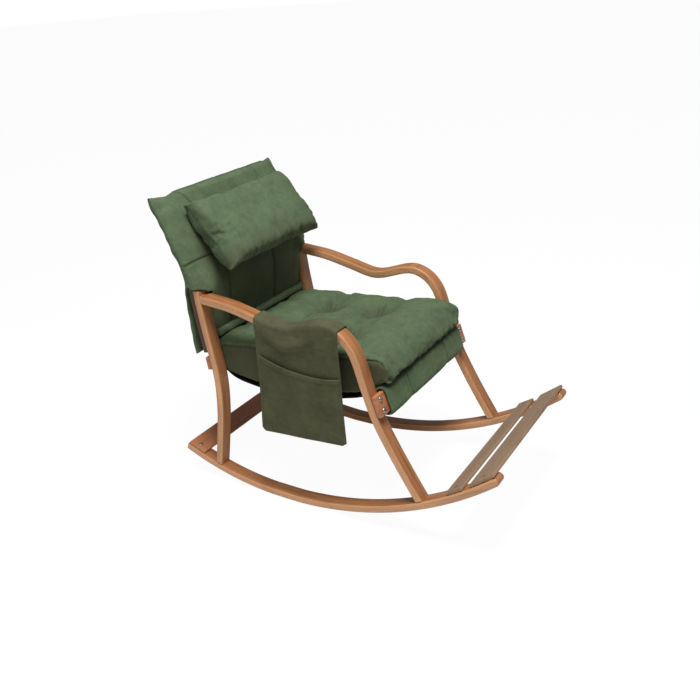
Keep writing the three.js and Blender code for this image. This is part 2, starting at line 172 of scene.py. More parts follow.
def subdivide(piece):
    modified(piece, "SUBSURF", levels=1, render_levels=1)


def thicken(piece, thickness, offset=-1):
    modified(piece, "SOLIDIFY", thickness=thickness, offset=offset)


def face_outwards(piece, weld_gap=0.0):
    """Turns all faces outwards, once points closer than the gap are joined."""
    bm = bmesh.new()
    bm.from_mesh(piece.data)
    if weld_gap:
        bmesh.ops.remove_doubles(bm, verts=bm.verts, dist=weld_gap)
    bmesh.ops.recalc_face_normals(bm, faces=bm.faces)
    bm.to_mesh(piece.data)
    bm.free()
    shade_smooth(piece.data)
    return piece


def smoothstep(low, high, value):
    t = np.clip((np.asarray(value, float) - low) / (high - low), 0, 1)
    return t * t * (3 - 2 * t)


def bell(value, centre, width):
    return np.exp(-(((np.asarray(value, float) - centre) / width) ** 2))


def ripples(points, length, seed, count=8):
    """Smooth noise about -1 to 1: waves of about one length that run in fixed, scattered directions."""
    rng = np.random.default_rng(seed)
    total = np.zeros(len(points))
    for _ in range(count):
        direction = rng.normal(size=3)
        direction /= np.linalg.norm(direction)
        pitch = length * rng.uniform(0.7, 1.5)
        total += np.sin(points @ direction * (2 * math.pi / pitch) + rng.uniform(0, 2 * math.pi))
    return total / count ** 0.5 / 1.6


def unevenness(points, *waves):
    """The sum of ripples, each given as (height, length, seed)."""
    return sum(height * ripples(points, length, seed) for height, length, seed in waves)


def wave(run, pitch, phase=0.0):
    return np.sin(run * 2 * math.pi / pitch + phase)


def distance_to_segment(points, a, b):
    """Distance in the plane from each [x, y] point to the segment from a to b."""
    a, b = np.asarray(a, float), np.asarray(b, float)
    along = np.clip(((points - a) @ (b - a)) / ((b - a) @ (b - a)), 0, 1)
    return np.linalg.norm(points - (a + along[:, None] * (b - a)), axis=1)


# ---------- Outlines in the side view, as [y, z] points ----------


def outline_at(node, x):
    """The outline of a CAD node's flat faces on the plane at x, anticlockwise seen from +X."""
    bm = bmesh.new()
    bm.from_mesh(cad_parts[node].data)
    bmesh.ops.remove_doubles(bm, verts=bm.verts, dist=1e-5)
    flat = {f for f in bm.faces if all(abs(v.co.x - x) < 1e-4 for v in f.verts)}
    follows = {}
    for face in flat:
        for corner in face.loops:
            if sum(f in flat for f in corner.edge.link_faces) == 1:
                follows[corner.vert] = corner.link_loop_next.vert
    longest = []
    while follows:
        vert = next(iter(follows))
        chain = []
        while vert in follows:
            chain.append((vert.co.y, vert.co.z))
            vert = follows.pop(vert)
        longest = max(longest, chain, key=len)
    bm.free()
    loop = np.array(longest)
    after = np.roll(loop, -1, 0)
    area = np.sum(loop[:, 0] * after[:, 1] - after[:, 0] * loop[:, 1])
    return loop if area > 0 else loop[::-1]


def sharp_corners(loop, degrees):
    edge = np.roll(loop, -1, 0) - loop
    heading = np.arctan2(edge[:, 1], edge[:, 0])
    turn = (heading - np.roll(heading, 1) + math.pi) % (2 * math.pi) - math.pi
    return np.abs(turn) > math.radians(degrees)


def refined(loop, step, degrees=25):
    """More points on the smooth stretches of an outline; its sharp corners stay sharp."""
    sharp = sharp_corners(loop, degrees)
    count = len(loop)
    result = []
    for i in range(count):
        a, b, c, d = (loop[(i + k) % count] for k in (-1, 0, 1, 2))
        length = np.linalg.norm(c - b)
        before = b - (c - b) if sharp[i] else a
        beyond = c + (c - b) if sharp[(i + 1) % count] else d
        leave = (c - before) * length / (length + np.linalg.norm(b - before))
        arrive = (beyond - b) * length / (length + np.linalg.norm(beyond - c))
        parts = max(1, round(length / step))
        for t in np.arange(parts) / parts:
            result.append(
                (2 * t ** 3 - 3 * t ** 2 + 1) * b + (t ** 3 - 2 * t ** 2 + t) * leave
                + (3 * t ** 2 - 2 * t ** 3) * c + (t ** 3 - t ** 2) * arrive)
    return np.array(result)


def with_round_corners(loop, radius, degrees=25, steps=5):
    """An outline whose sharp corners are rounded."""
    sharp = sharp_corners(loop, degrees)
    result = []
    for i, point in enumerate(loop):
        if not sharp[i]:
            result.append(point)
            continue
        back = loop[i - 1] - point
        ahead = loop[(i + 1) % len(loop)] - point
        start = point + back / np.linalg.norm(back) * radius
        end = point + ahead / np.linalg.norm(ahead) * radius
        for t in np.linspace(0, 1, steps):
            result.append((1 - t) ** 2 * start + 2 * t * (1 - t) * point + t ** 2 * end)
    return np.array(result)


def inset(loop, amounts):
    """The outline moved inwards, each edge by its own amount."""
    edge = np.roll(loop, -1, 0) - loop
    edge /= np.linalg.norm(edge, axis=1)[:, None]
    inward = np.stack([-edge[:, 1], edge[:, 0]], 1)
    result = []
    for i in range(len(loop)):
        n1, n2 = inward[i - 1], inward[i]
        a1, a2 = amounts[i - 1], amounts[i]
        cross = n1[0] * n2[1] - n1[1] * n2[0]
        if abs(cross) < 0.2:
            middle = n1 + n2
            result.append(loop[i] + middle / np.linalg.norm(middle) * (a1 + a2) / 2)
        else:
            y = (a1 * n2[1] - a2 * n1[1]) / cross
            z = (a2 * n1[0] - a1 * n2[0]) / cross
            result.append(loop[i] + np.array([y, z]))
    return untangled(np.array(result))


def untangled(ring):
    """Where an edge crosses the next but one, the edge between them shrinks to the crossing."""
    count = len(ring)
    for i in range(count):
        a, b, c, d = (ring[(i + k) % count] for k in range(4))
        across = (b[0] - a[0]) * (d[1] - c[1]) - (b[1] - a[1]) * (d[0] - c[0])
        if abs(across) < 1e-14:
            continue
        t = ((c[0] - a[0]) * (d[1] - c[1]) - (c[1] - a[1]) * (d[0] - c[0])) / across
        u = ((c[0] - a[0]) * (b[1] - a[1]) - (c[1] - a[1]) * (b[0] - a[0])) / across
        if 0 < t < 1 and 0 < u < 1:
            ring[(i + 1) % count] = ring[(i + 2) % count] = a + t * (b - a)
    return ring


def butt_ends(loop, longest=0.06):
    """True for each edge that lies between two sharp corners close together, as at a cut end."""
    sharp = np.flatnonzero(sharp_corners(loop, 40))
    cut = np.zeros(len(loop), bool)
    for i, start in enumerate(sharp):
        end = sharp[(i + 1) % len(sharp)]
        run = [(start + k) % len(loop) for k in range((end - start) % len(loop))]
        path = sum(np.linalg.norm(loop[(k + 1) % len(loop)] - loop[k]) for k in run)
        if path < longest:
            cut[run] = True
    return cut


def rounded_slab(name, loop, x0, x1, radius, steps=5, butts=None):
    """An outline made solid between two X planes, with rounded rims. Cut ends stay crisp."""
    depth = np.full(len(loop), radius)
    if butts is not None:
        depth[butts] = BUTT_ROUNDING
    rings = []
    for k in range(steps, -1, -1):
        angle = k / steps * math.pi / 2
        ring = inset(loop, depth * (1 - math.cos(angle)))
        rings.append((x0 + radius * (1 - math.sin(angle)), ring))
    rings += [(x0 + x1 - x, ring) for x, ring in reversed(rings)]
    points = [(x, y, z) for x, ring in rings for y, z in ring]
    piece = face_outwards(make_object(name, points, capped_tube(len(rings), len(loop))))
    piece.data.set_sharp_from_angle(angle=SHARP_ANGLE)
    return piece


def split_chain(loop, start, end, sign):
    """The way along an outline from one point to another on its rearward (1) or forward (-1) side."""
    count = len(loop)
    ahead = [loop[(start + k) % count] for k in range((end - start) % count + 1)]
    back = [loop[(start - k) % count] for k in range((start - end) % count + 1)]
    return np.array(max(ahead, back, key=lambda way: sign * np.mean([p[0] for p in way])))


def resampled(line, count):
    line = np.asarray(line, float)
    run = np.r_[0, np.cumsum(np.linalg.norm(np.diff(line, axis=0), axis=1))]
    at = np.linspace(0, run[-1], count)
    return np.stack([np.interp(at, run, line[:, k]) for k in range(line.shape[1])], 1)


# ---------- Shader helpers ----------


class Shader:
    """A material's node tree, built with short calls that return output sockets."""

    def __init__(self, name):
        self.material = bpy.data.materials.new(name)
        self.material.use_nodes = True
        self.tree = self.material.node_tree
        self.tree.nodes.clear()
        self.output = self.tree.nodes.new("ShaderNodeOutputMaterial")
        self.surface = self.tree.nodes.new("ShaderNodeBsdfPrincipled")
        self.tree.links.new(self.surface.outputs[0], self.output.inputs["Surface"])

    def plug(self, socket, value):
        if isinstance(value, bpy.types.NodeSocket):
            self.tree.links.new(value, socket)
        else:
            socket.default_value = value

    def set(self, **values):
        for name, value in values.items():
            self.plug(self.surface.inputs[name.replace("_", " ")], value)

    def node(self, kind, inputs=None, **settings):
        """A new node; its inputs are given by place or by name."""
        node = self.tree.nodes.new(f"ShaderNode{kind}")
        for name, value in settings.items():
            setattr(node, name, value)
        for place, value in (inputs or {}).items():
            self.plug(node.inputs[place], value)
        return node

    def math(self, operation, a, b=0.0, c=0.0, clamp=False):
        inputs = {0: a, 1: b, 2: c}
        return self.node("Math", inputs, operation=operation, use_clamp=clamp).outputs[0]

    def weighted(self, *terms, plus=0.0):
        """The sum of (value, weight) terms."""
        total = plus
        for value, weight in terms:
            total = self.math("MULTIPLY_ADD", value, weight, total)
        return total

    def attribute(self, name, output="Fac"):
        return self.node("Attribute", attribute_name=name).outputs[output]

    def place(self):
        return self.node("TexCoord").outputs["Object"]

    def split(self, vector):
        return self.node("SeparateXYZ", {0: vector}).outputs

    def noise(self, vector, scale, detail=3.0, roughness=0.55, distortion=0.0):
        """Noise about 0.5. Three scales stretch it along the vector's own directions."""
        if isinstance(scale, tuple):
            vector = self.node("VectorMath", {0: vector, 1: scale}, operation="MULTIPLY").outputs[0]
            scale = 1.0
        inputs = {"Vector": vector, "Scale": scale, "Detail": detail, "Roughness": roughness,
                  "Distortion": distortion}
        return self.node("TexNoise", inputs).outputs["Fac"]

    def ramp(self, value, stops):
        """A value or a colour that runs through (position, colour) stops."""
        node = self.node("ValToRGB", {0: value})
        elements = node.color_ramp.elements
        while len(elements) < len(stops):
            elements.new(0.5)
        for element, (position, colour) in zip(elements, stops):
            element.position = position
            element.color = colour if isinstance(colour, tuple) else (colour,) * 3 + (1,)
        return node.outputs["Color"]

    def mix(self, share, a, b, blend="MIX"):
        inputs = {0: share, 6: a, 7: b}
        return self.node("Mix", inputs, data_type="RGBA", blend_type=blend).outputs[2]

    def bump(self, height, strength, distance):
        inputs = {"Height": height, "Strength": strength, "Distance": distance}
        self.set(Normal=self.node("Bump", inputs).outputs[0])


def srgb(red, green, blue):
    """A colour given as 0 to 255 display values, as the linear colour that shaders want."""
    return tuple((c / 255 / 12.92) if c <= 10 else ((c / 255 + 0.055) / 1.055) ** 2.4
                 for c in (red, green, blue)) + (1.0,)


def scaled(colour, factor):
    return tuple(min(1.0, c * factor) for c in colour[:3]) + (1.0,)


# ---------- Materials ----------


def wood_material(name, light, dark, side=None, roughness=0.42, coat=0.25):
    """Lacquered beech, with grain from (along, across the face, through the layers).

    With a side colour it is laminated, and faces that look along X take that paler colour: painted light
    for the light falling on the sides, with the veneers' real layer lines on them.
    """
    s = Shader(name)
    grain = s.attribute("grain", "Vector")
    broad = s.noise(grain, (5, 60, 60), distortion=0.6)
    streak = s.noise(grain, (14, 420, 420), detail=4, roughness=0.65)
    fleck = s.noise(grain, (170, 1500, 1500), detail=1)
    colour = s.ramp(s.weighted((broad, 0.55), (streak, 0.45)),
                    [(0.33, dark), (0.52, light), (0.72, scaled(light, 1.2))])
    # Painted light: faces that look along X get the paler side colour, as if more lit than the tops and
    # fronts.
    if side:
        facing = s.node("NewGeometry").outputs["Normal"]
        sideways = s.ramp(s.math("ABSOLUTE", s.split(facing)[0]), [(0.55, 0.0), (0.85, 1.0)])
        tone = s.ramp(s.weighted((broad, 0.5), (streak, 0.5)),
                      [(0.34, scaled(side, 0.72)), (0.52, side), (0.7, scaled(side, 1.14))])
        colour = s.mix(sideways, colour, tone)
    dashes = s.ramp(fleck, [(0.6, 0.0), (0.72, 1.0)])
    colour = s.mix(s.math("MULTIPLY", dashes, 0.28), colour, scaled(dark, 0.72))
    height = s.weighted((streak, 0.6), (dashes, -0.3))
    if side:
        colour, line = veneers(s, s.split(grain)[2], colour, dark)
        height = s.weighted((line, -0.7), plus=height)
    worn = s.math("MULTIPLY", s.attribute("wear"), 0.22)
    s.set(Base_Color=s.mix(worn, colour, scaled(light, 1.3)),
          Roughness=s.weighted((streak, 0.2), plus=roughness - 0.1),
          Coat_Weight=coat, Coat_Roughness=0.35, Specular_IOR_Level=0.4)
    s.bump(height, 0.25, 0.0004)
    return s.material


def veneers(s, through, colour, dark):
    """Each veneer a little lighter or darker, with a dark line of glue between two."""
    position = s.math("DIVIDE", through, LAYER)
    between = s.math("ABSOLUTE", s.math("SUBTRACT", s.math("FRACT", position), 0.5))
    line = s.ramp(between, [(0.0, 1.0), (0.13, 0.0)])
    index = s.math("FLOOR", s.math("ADD", position, 0.5))
    chance = s.node("TexWhiteNoise", noise_dimensions="1D")
    s.plug(chance.inputs["W"], index)
    shade = s.weighted((chance.outputs["Value"], 0.16), plus=0.9)
    colour = s.mix(1.0, colour, shade, "MULTIPLY")
    return s.mix(s.math("MULTIPLY", line, LAYER_LINE), colour, scaled(dark, 0.5)), line


def fabric_material(name, colour, thread=0.0011, sheen=0.3, mottle=0.24, painted_shade=None):
    """Brushed cotton: a soft weave under a nap, mottled, with painted shade in the seams.

    painted_shade is its darker, browner colour, painted where shade falls on the cloth.
    """
    s = Shader(name)
    place = s.place()
    x, y, z = s.split(place)
    turn = 2 * math.pi / thread
    warp, weft = s.weighted((x, 0.92), (z, 0.4)), s.weighted((y, 0.75), (z, -0.66))
    threads = [s.math("SINE", s.math("MULTIPLY", way, turn)) for way in (warp, weft)]
    weave = s.math("MULTIPLY", *threads)
    nap = s.noise(place, 900, detail=4, roughness=0.75)
    slub = s.noise(place, (260, 60, 60))
    cloud = s.noise(place, 16, detail=5, roughness=0.62)
    strokes = s.noise(place, (70, 40, 90), distortion=0.8)
    tone = s.weighted((cloud, 0.42), (strokes, 0.3), (nap, 0.16), (slub, 0.12))
    body = s.ramp(tone, [(0.38, scaled(colour, 1 - mottle)), (0.5, colour),
                         (0.62, scaled(colour, 1 + mottle))])
    body = s.mix(s.weighted((weave, 0.08), plus=0.08), body, scaled(colour, 0.55))
    # Painted shade: the cloth darkens in seams, slits, creases and under other parts.
    seam = s.math("MULTIPLY", s.attribute("seam"), 0.62, clamp=True)
    body = s.mix(seam, body, scaled(colour, 0.3))
    # Painted shade: the cloth turns darker and browner where the painted_shade attribute is set.
    if painted_shade:
        body = s.mix(s.attribute("painted_shade"), body, painted_shade)
    s.set(Base_Color=body, Roughness=s.weighted((nap, 0.12), plus=0.84),
          Specular_IOR_Level=0.18, Sheen_Weight=sheen, Sheen_Roughness=0.45,
          Sheen_Tint=scaled(colour, 3.4))
    s.bump(s.weighted((weave, 0.35), (nap, 0.8)), 0.35, 0.0005)
    return s.material


def steel_material():
    """Zinc-plated steel with fine turning marks and stains."""
    s = Shader("zinc_plated_steel")
    place = s.place()
    cloud = s.noise(place, 240, detail=4)
    s.set(Base_Color=s.ramp(cloud, [(0.35, srgb(150, 148, 142)), (0.65, srgb(214, 212, 206))]),
          Metallic=0.95, Roughness=s.weighted((cloud, 0.25), plus=0.22))
    s.bump(s.noise(place, 2600, detail=2), 0.2, 0.0001)
    return s.material


def floor_material():
    """Pale floor: nearly white to the camera, with only a faint shadow."""
    s = Shader("pale_floor")
    cloud = s.noise(s.place(), 3, detail=4)
    s.set(Base_Color=s.ramp(cloud, [(0.3, srgb(240, 240, 239)), (0.7, srgb(246, 246, 245))]),
          Roughness=0.85)
    seen = s.math("MULTIPLY", s.node("LightPath").outputs["Is Camera Ray"], FLOOR_GLOW)
    glow = s.node("Emission", {"Strength": GLOW_STRENGTH})
    inputs = {0: seen, 1: s.surface.outputs[0], 2: glow.outputs[0]}
    s.plug(s.output.inputs["Surface"], s.node("MixShader", inputs).outputs[0])
    return s.material


BEECH_LIGHT = srgb(174, 116, 74)
BEECH_DARK = srgb(128, 74, 41)
# Paler colour of the laminated members' sides: painted light.
BEECH_SIDE_PAINTED_LIGHT = srgb(222, 164, 119)
GREEN = srgb(87, 103, 77)
# The green cloth's colour in painted shade.
GREEN_PAINTED_SHADE = srgb(76, 74, 55)
# The pocket's cloth is the green cotton made darker and browner: painted shade for the pocket on the arm's
# shaded outer side.
SHADED_POCKET_GREEN = srgb(84, 84, 63)

bent_beech = wood_material("bent_beech", BEECH_LIGHT, BEECH_DARK, side=BEECH_SIDE_PAINTED_LIGHT)
plain_beech = wood_material("plain_beech", BEECH_LIGHT, BEECH_DARK)
# The back posts' wood is darkened to a fifth of the beech colours: painted shade for the shadow that the
# cover's flap casts on them.
shadowed_post_beech = wood_material("shadowed_post_beech", scaled(BEECH_LIGHT, 0.2), scaled(BEECH_DARK, 0.2))
rail_beech = wood_material("rail_beech", srgb(184, 118, 80), srgb(132, 76, 46))
slat_beech = wood_material("slat_beech", srgb(150, 122, 98), srgb(98, 74, 55), roughness=0.55,
                           coat=0.1)
green_cloth = fabric_material("green_brushed_cotton", GREEN, painted_shade=GREEN_PAINTED_SHADE)
shaded_pocket_cloth = fabric_material("green_cotton_in_painted_shade", SHADED_POCKET_GREEN, sheen=0.25)
sling_cloth = fabric_material("dark_sling_cloth", srgb(40, 44, 36), thread=0.0016, sheen=0.1)
zinc = steel_material()


def finish_piece(piece, material, slot, body, *nodes):
    piece.data.materials.clear()
    piece.data.materials.append(material)
    if nodes:
        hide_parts(*nodes)
    if body:
        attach(piece, body)
    return piece


# ---------- Wooden pieces ----------


def centreline(loop, first, last, count=160):
    """Middle of a long outline, between the two points that mark its ends."""
    ways = [split_chain(loop, first, last, sign) for sign in (-1, 1)]
    return (resampled(ways[0], count) + resampled(ways[1], count)) / 2


def set_member_grain(piece, loop, first, last):
    line = centreline(loop, first, last)
    run = np.r_[0, np.cumsum(np.linalg.norm(np.diff(line, axis=0), axis=1))]
    heading = np.gradient(line, axis=0)
    heading /= np.linalg.norm(heading, axis=1)[:, None]
    points = coordinates(piece)
    flat = points[:, 1:]
    nearest = np.argmin(np.linalg.norm(flat[:, None] - line[None], axis=2), axis=1)
    offset = flat - line[nearest]
    along = run[nearest] + np.sum(offset * heading[nearest], axis=1)
    through = offset[:, 0] * -heading[nearest, 1] + offset[:, 1] * heading[nearest, 0]
    set_attribute(piece, "grain", np.stack([along, points[:, 0], through], 1), "FLOAT_VECTOR")


def set_wear(piece, x0, x1, reach):
    """Edge wear: strongest on the rounded rims."""
    x = coordinates(piece)[:, 0]
    rim = np.minimum(x - x0, x1 - x)
    set_attribute(piece, "wear", bell(rim, reach * 0.4, reach * 0.45))


def member(node, ends, rounding, material):
    """A bentwood member. `ends` picks the two ends of its outline."""
    low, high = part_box(node)
    loop = refined(outline_at(node, low.x), OUTLINE_STEP)
    cut = butt_ends(loop)
    loop = loop[~(cut & np.roll(cut, 1))]  # a cut end is one straight edge
    piece = rounded_slab(f"{node}_wood", loop, low.x, high.x, rounding, butts=butt_ends(loop))
    first, last = (int(np.argmax(loop @ np.array(way))) for way in ends)
    set_member_grain(piece, loop, first, last)
    set_wear(piece, low.x, high.x, rounding)
    return finish_piece(piece, material, "wood", "frame", node)


def plank(node, material, slot, rounding=PLANK_ROUNDING):
    """A straight plank across the chair; its grain runs along X."""
    low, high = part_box(node)
    outline = outline_at(node, low.x)
    sides = np.roll(outline, -1, 0) - outline
    wide = sides[np.argmax(np.linalg.norm(sides, axis=1))]
    wide /= np.linalg.norm(wide)
    loop = with_round_corners(outline, rounding)
    piece = rounded_slab(f"{node}_wood", loop, low.x, high.x, rounding * 0.7, steps=4)
    points = coordinates(piece)
    middle = outline.mean(0)
    across = (points[:, 1:] - middle) @ wide
    through = (points[:, 1:] - middle) @ np.array([-wide[1], wide[0]])
    seed = sum(map(ord, node)) % 17 / 10
    grain = np.stack([points[:, 0] + seed, across + seed, through], 1)
    set_attribute(piece, "grain", grain, "FLOAT_VECTOR")
    half = np.abs(across).max()
    set_attribute(piece, "wear", smoothstep(half - 2 * rounding, half, np.abs(across)))
    return finish_piece(piece, material, slot, "frame", node)


# The ends of each member's outline, as the directions in which they lie furthest.
MEMBER_ENDS = {
    "rocker": ((-1, 0), (1, 0)),
    "rear_leg": ((0, -1), (0, 1)),
    "arm_and_front_leg": ((1, 0.2), (0, -1)),
    "back_post": ((0, -1), (0, 1)),
}
PLANKS = {
    "front_rail": (rail_beech, "wood"),
    "rear_rail": (rail_beech, "wood"),
    "rear_cross_plank": (rail_beech, "wood"),
    "foot_slat_rear": (slat_beech, "slat_wood"),
    "foot_slat_front": (slat_beech, "slat_wood"),
}

wood_pieces = {}
for side in ("left", "right"):
    for kind, ends in MEMBER_ENDS.items():
        rounding = POST_ROUNDING if kind == "back_post" else MEMBER_ROUNDING
        beech = shadowed_post_beech if kind == "back_post" else bent_beech
        wood_pieces[f"{side}_{kind}"] = member(f"{side}_{kind}", ends, rounding, beech)
for node, (material, slot) in PLANKS.items():
    wood_pieces[node] = plank(node, material, slot)
for number in range(1, 6):
    wood_pieces[f"back_slat_{number}"] = plank(f"back_slat_{number}", plain_beech, "wood")

# ---------- Fasteners ----------


class Fastener:
    """Where a CAD fastener is: the middle of its head's seat, its outward axis and its sizes."""

    def __init__(self, node):
        points = np.array([v.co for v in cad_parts[node].data.vertices], float)
        points = np.unique(np.round(points, 6), axis=0)
        low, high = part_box(node)
        centre = (np.array(low) + np.array(high)) / 2
        axis = np.linalg.svd(points - points.mean(0))[2][0]
        along = (points - centre) @ axis
        radius = np.linalg.norm(points - centre - along[:, None] * axis, axis=1)
        head = radius > 0.8 * radius.max()
        if along[head].mean() < 0:
            axis, along = -axis, -along
        self.axis = axis
        self.head = radius.max()
        seat = along[head].min()
        self.height = along.max() - seat
        self.length = seat - along.min()
        stem = points[along < seat - 1e-4]
        line = stem.mean(0)
        spread = stem - line
        self.shank = np.linalg.norm(spread - np.outer(spread @ axis, axis), axis=1).max()
        self.seat = line + axis * (seat - (line - centre) @ axis)

    def matrix(self):
        turn = Vector(self.axis).to_track_quat("Z", "Y")
        return Matrix.LocRotScale(Vector(self.seat), turn, None)


def lathe(name, rings, sides=36):
    """Rings of (radius, height, hexagonal) joined into a closed solid; a hexagonal ring has flats."""
    angles = np.arange(sides) / sides * 2 * math.pi
    flats = math.cos(math.pi / 6) / np.cos((angles % (math.pi / 3)) - math.pi / 6)
    points = []
    for radius, height, hexagonal in rings:
        r = radius * (flats if hexagonal else np.ones(sides))
        points += [(a * math.cos(t), a * math.sin(t), height) for a, t in zip(r, angles)]
    return face_outwards(make_object(name, points, capped_tube(len(rings), sides)))


def fastener_piece(node):
    """A button-head bolt or a flat-head screw with a hexagonal socket."""
    f = Fastener(node)
    socket = 0.42 * f.head
    dome = [(math.cos(a), math.sin(a)) for a in np.radians([8, 30, 50, 66])]
    rings = [(f.shank * 0.7, -f.length, False), (f.shank, -f.length + 0.001, False)]
    rings += [(f.shank, 0, False), (f.head * 0.97, 0, False), (f.head, f.height * 0.12, False)]
    rings += [(f.head * (0.35 + 0.65 * c), f.height * (0.3 + 0.7 * s), False) for c, s in dome]
    rings += [(socket * 1.12, f.height, False), (socket, f.height * 0.97, True)]
    rings += [(socket, f.height * 0.3, True), (socket * 0.5, f.height * 0.2, False)]
    piece = lathe(f"{node}_fine", rings)
    piece.data.transform(f.matrix())
    piece.data.set_sharp_from_angle(angle=SHARP_ANGLE)
    return finish_piece(piece, zinc, "steel", "frame", node)


def sink_head(wood, node):
    """Cuts the round recess that a fastener's head sits in."""
    f = Fastener(node)
    radius, rise = f.head + 0.0004, 0.02
    cutter = lathe(f"{node}_recess", [(radius, -0.0002, False), (radius, rise, False)])
    cutter.data.transform(f.matrix())
    modified(wood, "BOOLEAN", operation="DIFFERENCE", solver="EXACT", object=cutter)
    bpy.data.objects.remove(cutter)
    wood.data.set_sharp_from_angle(angle=SHARP_ANGLE)


FASTENER_KINDS = (
    "front_rail_bolt_upper", "front_rail_bolt_lower", "rear_rail_bolt_upper",
    "rear_rail_bolt_lower", "arm_bolt", "back_post_bolt", "front_leg_bolt", "rear_leg_bolt",
    "rear_plank_screw", "foot_slat_rear_screw", "foot_slat_front_screw",
)
SUNK = {
    "front_leg_bolt": "rocker", "rear_leg_bolt": "rocker", "rear_plank_screw": "rear_cross_plank",
    "foot_slat_rear_screw": "foot_slat_rear", "foot_slat_front_screw": "foot_slat_front",
}
for side in ("left", "right"):
    for kind in FASTENER_KINDS:
        fastener_piece(f"{side}_{kind}")
        if kind in SUNK:
            host = SUNK[kind]
            host = f"{side}_{host}" if host == "rocker" else host
            sink_head(wood_pieces[host], f"{side}_{kind}")

# ---------- Cloth simulation ----------


def inflate(piece, pressure, cap, frames=20, pins=None, shrink=0.0, stiffness=15.0, bending=0.5):
    """Puffs a closed mesh up as cloth with air inside, and moves no point further than the cap."""
    start = coordinates(piece)
    cloth = piece.modifiers.new("puff", "CLOTH")
    settings = {
        "quality": 6, "mass": 0.25, "air_damping": 2.0, "tension_stiffness": stiffness,
        "compression_stiffness": stiffness, "shear_stiffness": stiffness / 3,
        "bending_stiffness": bending, "use_pressure": True,
        "uniform_pressure_force": pressure, "shrink_min": shrink,
    }
    for name, value in settings.items():
        setattr(cloth.settings, name, value)
    cloth.settings.effector_weights.gravity = 0
    if pins is not None:
        group = piece.vertex_groups.new(name="pins")
        for index, weight in enumerate(pins):
            if weight > 0.01:
                group.add([index], float(weight), "REPLACE")
        cloth.settings.vertex_group_mass = "pins"
    scene = bpy.context.scene
    cloth.point_cache.frame_start = 1
    cloth.point_cache.frame_end = frames
    for number in range(1, frames + 1):
        scene.frame_set(number)
    posed = piece.evaluated_get(bpy.context.evaluated_depsgraph_get())
    move = coordinates(posed) - start
    piece.modifiers.remove(cloth)
    piece.vertex_groups.clear()
    scene.frame_set(1)
    length = np.linalg.norm(move, axis=1)[:, None] + 1e-9
    set_coordinates(piece, start + move * (cap * np.tanh(length / cap) / length))


# ---------- Seat cushion ----------
# Tufts as (share of the half width, share of the depth from the front edge).
TUFTS = [(-0.40, 0.37), (0.44, 0.38), (-0.44, 0.69), (0.44, 0.69)]
TUFT_DEPTH = 0.038
# Valleys that run between tufts, and from them to the cushion's edges.
VALLEYS = [
    (TUFTS[0], TUFTS[1]), (TUFTS[2], TUFTS[3]), (TUFTS[0], TUFTS[2]), (TUFTS[1], TUFTS[3]),
    (TUFTS[0], (-1.0, 0.32)), (TUFTS[1], (1.0, 0.30)), (TUFTS[2], (-1.0, 0.68)),
    (TUFTS[3], (1.0, 0.69)), (TUFTS[2], (-0.5, 1.0)), (TUFTS[3], (0.5, 1.0)),
]
VALLEY_DEPTH = 0.011
CUSHION_REAR_GROWTH = 0.034
CUSHION_FRONT_GROWTH = 0.014
CUSHION_SIDE_GROWTH = 0.004
CUSHION_ROUNDING = 0.016
CUSHION_VOXEL = 0.0062
CUSHION_INSET = 0.006  # it swells by about this much
SIDE_SEAM = 0.84  # share of the cushion's height at which its side seam runs


def on_cushion(place):
    low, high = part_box("seat_cushion")
    return high.x * place[0], low.y + (high.y - low.y) * place[1]


def cushion_dents(points, up):
    """How far the top is drawn down at each point by the tufts and the valleys between them."""
    flat = points[:, :2]
    dent = np.zeros(len(points))
    for place in TUFTS:
        reach = np.linalg.norm(flat - on_cushion(place), axis=1)
        dent = np.maximum(dent, TUFT_DEPTH * np.exp(-(reach / 0.036) ** 1.15))
    for a, b in VALLEYS:
        gap = distance_to_segment(flat, on_cushion(a), on_cushion(b))
        fade = np.linalg.norm(flat - on_cushion(a), axis=1)
        dent = np.maximum(dent, VALLEY_DEPTH * np.exp(-(gap / 0.02) ** 2 - (fade / 0.19) ** 2))
    return dent * up


def cushion_form():
    """The cushion's slab with its tufts drawn in, then stuffed and made finer."""
    low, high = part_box("seat_cushion")
    outline = refined(outline_at("seat_cushion", low.x), 0.008, degrees=80)
    ahead = smoothstep(low.y + 0.09, low.y, outline[:, 0])
    outline[:, 0] += CUSHION_REAR_GROWTH * smoothstep(high.y - 0.10, high.y, outline[:, 0])
    outline[:, 0] -= CUSHION_FRONT_GROWTH * ahead
    outline[:, 1] -= 0.6 * CUSHION_FRONT_GROWTH * ahead
    loop = inset(outline, np.full(len(outline), CUSHION_INSET))
    piece = rounded_slab("seat_cushion_cloth", loop, low.x - CUSHION_SIDE_GROWTH,
                         high.x + CUSHION_SIDE_GROWTH, CUSHION_ROUNDING)
    modified(piece, "REMESH", mode="VOXEL", voxel_size=CUSHION_VOXEL)
    points, facing = coordinates(piece), normals(piece)
    up = smoothstep(0.25, 0.8, facing[:, 2])
    points[:, 2] -= cushion_dents(points, up)
    set_coordinates(piece, points)
    pins = smoothstep(-0.3, -0.8, facing[:, 2]) * 0.9
    pins = np.maximum(pins, 0.5 * smoothstep(0.7, 0.95, np.abs(facing[:, 0])))
    for place in TUFTS:
        near = np.linalg.norm(points[:, :2] - on_cushion(place), axis=1)
        pins = np.maximum(pins, up * smoothstep(0.013, 0.008, near))
    inflate(piece, 4.0, 0.016, pins=pins, shrink=-0.02)
    subdivide(piece)
    return piece


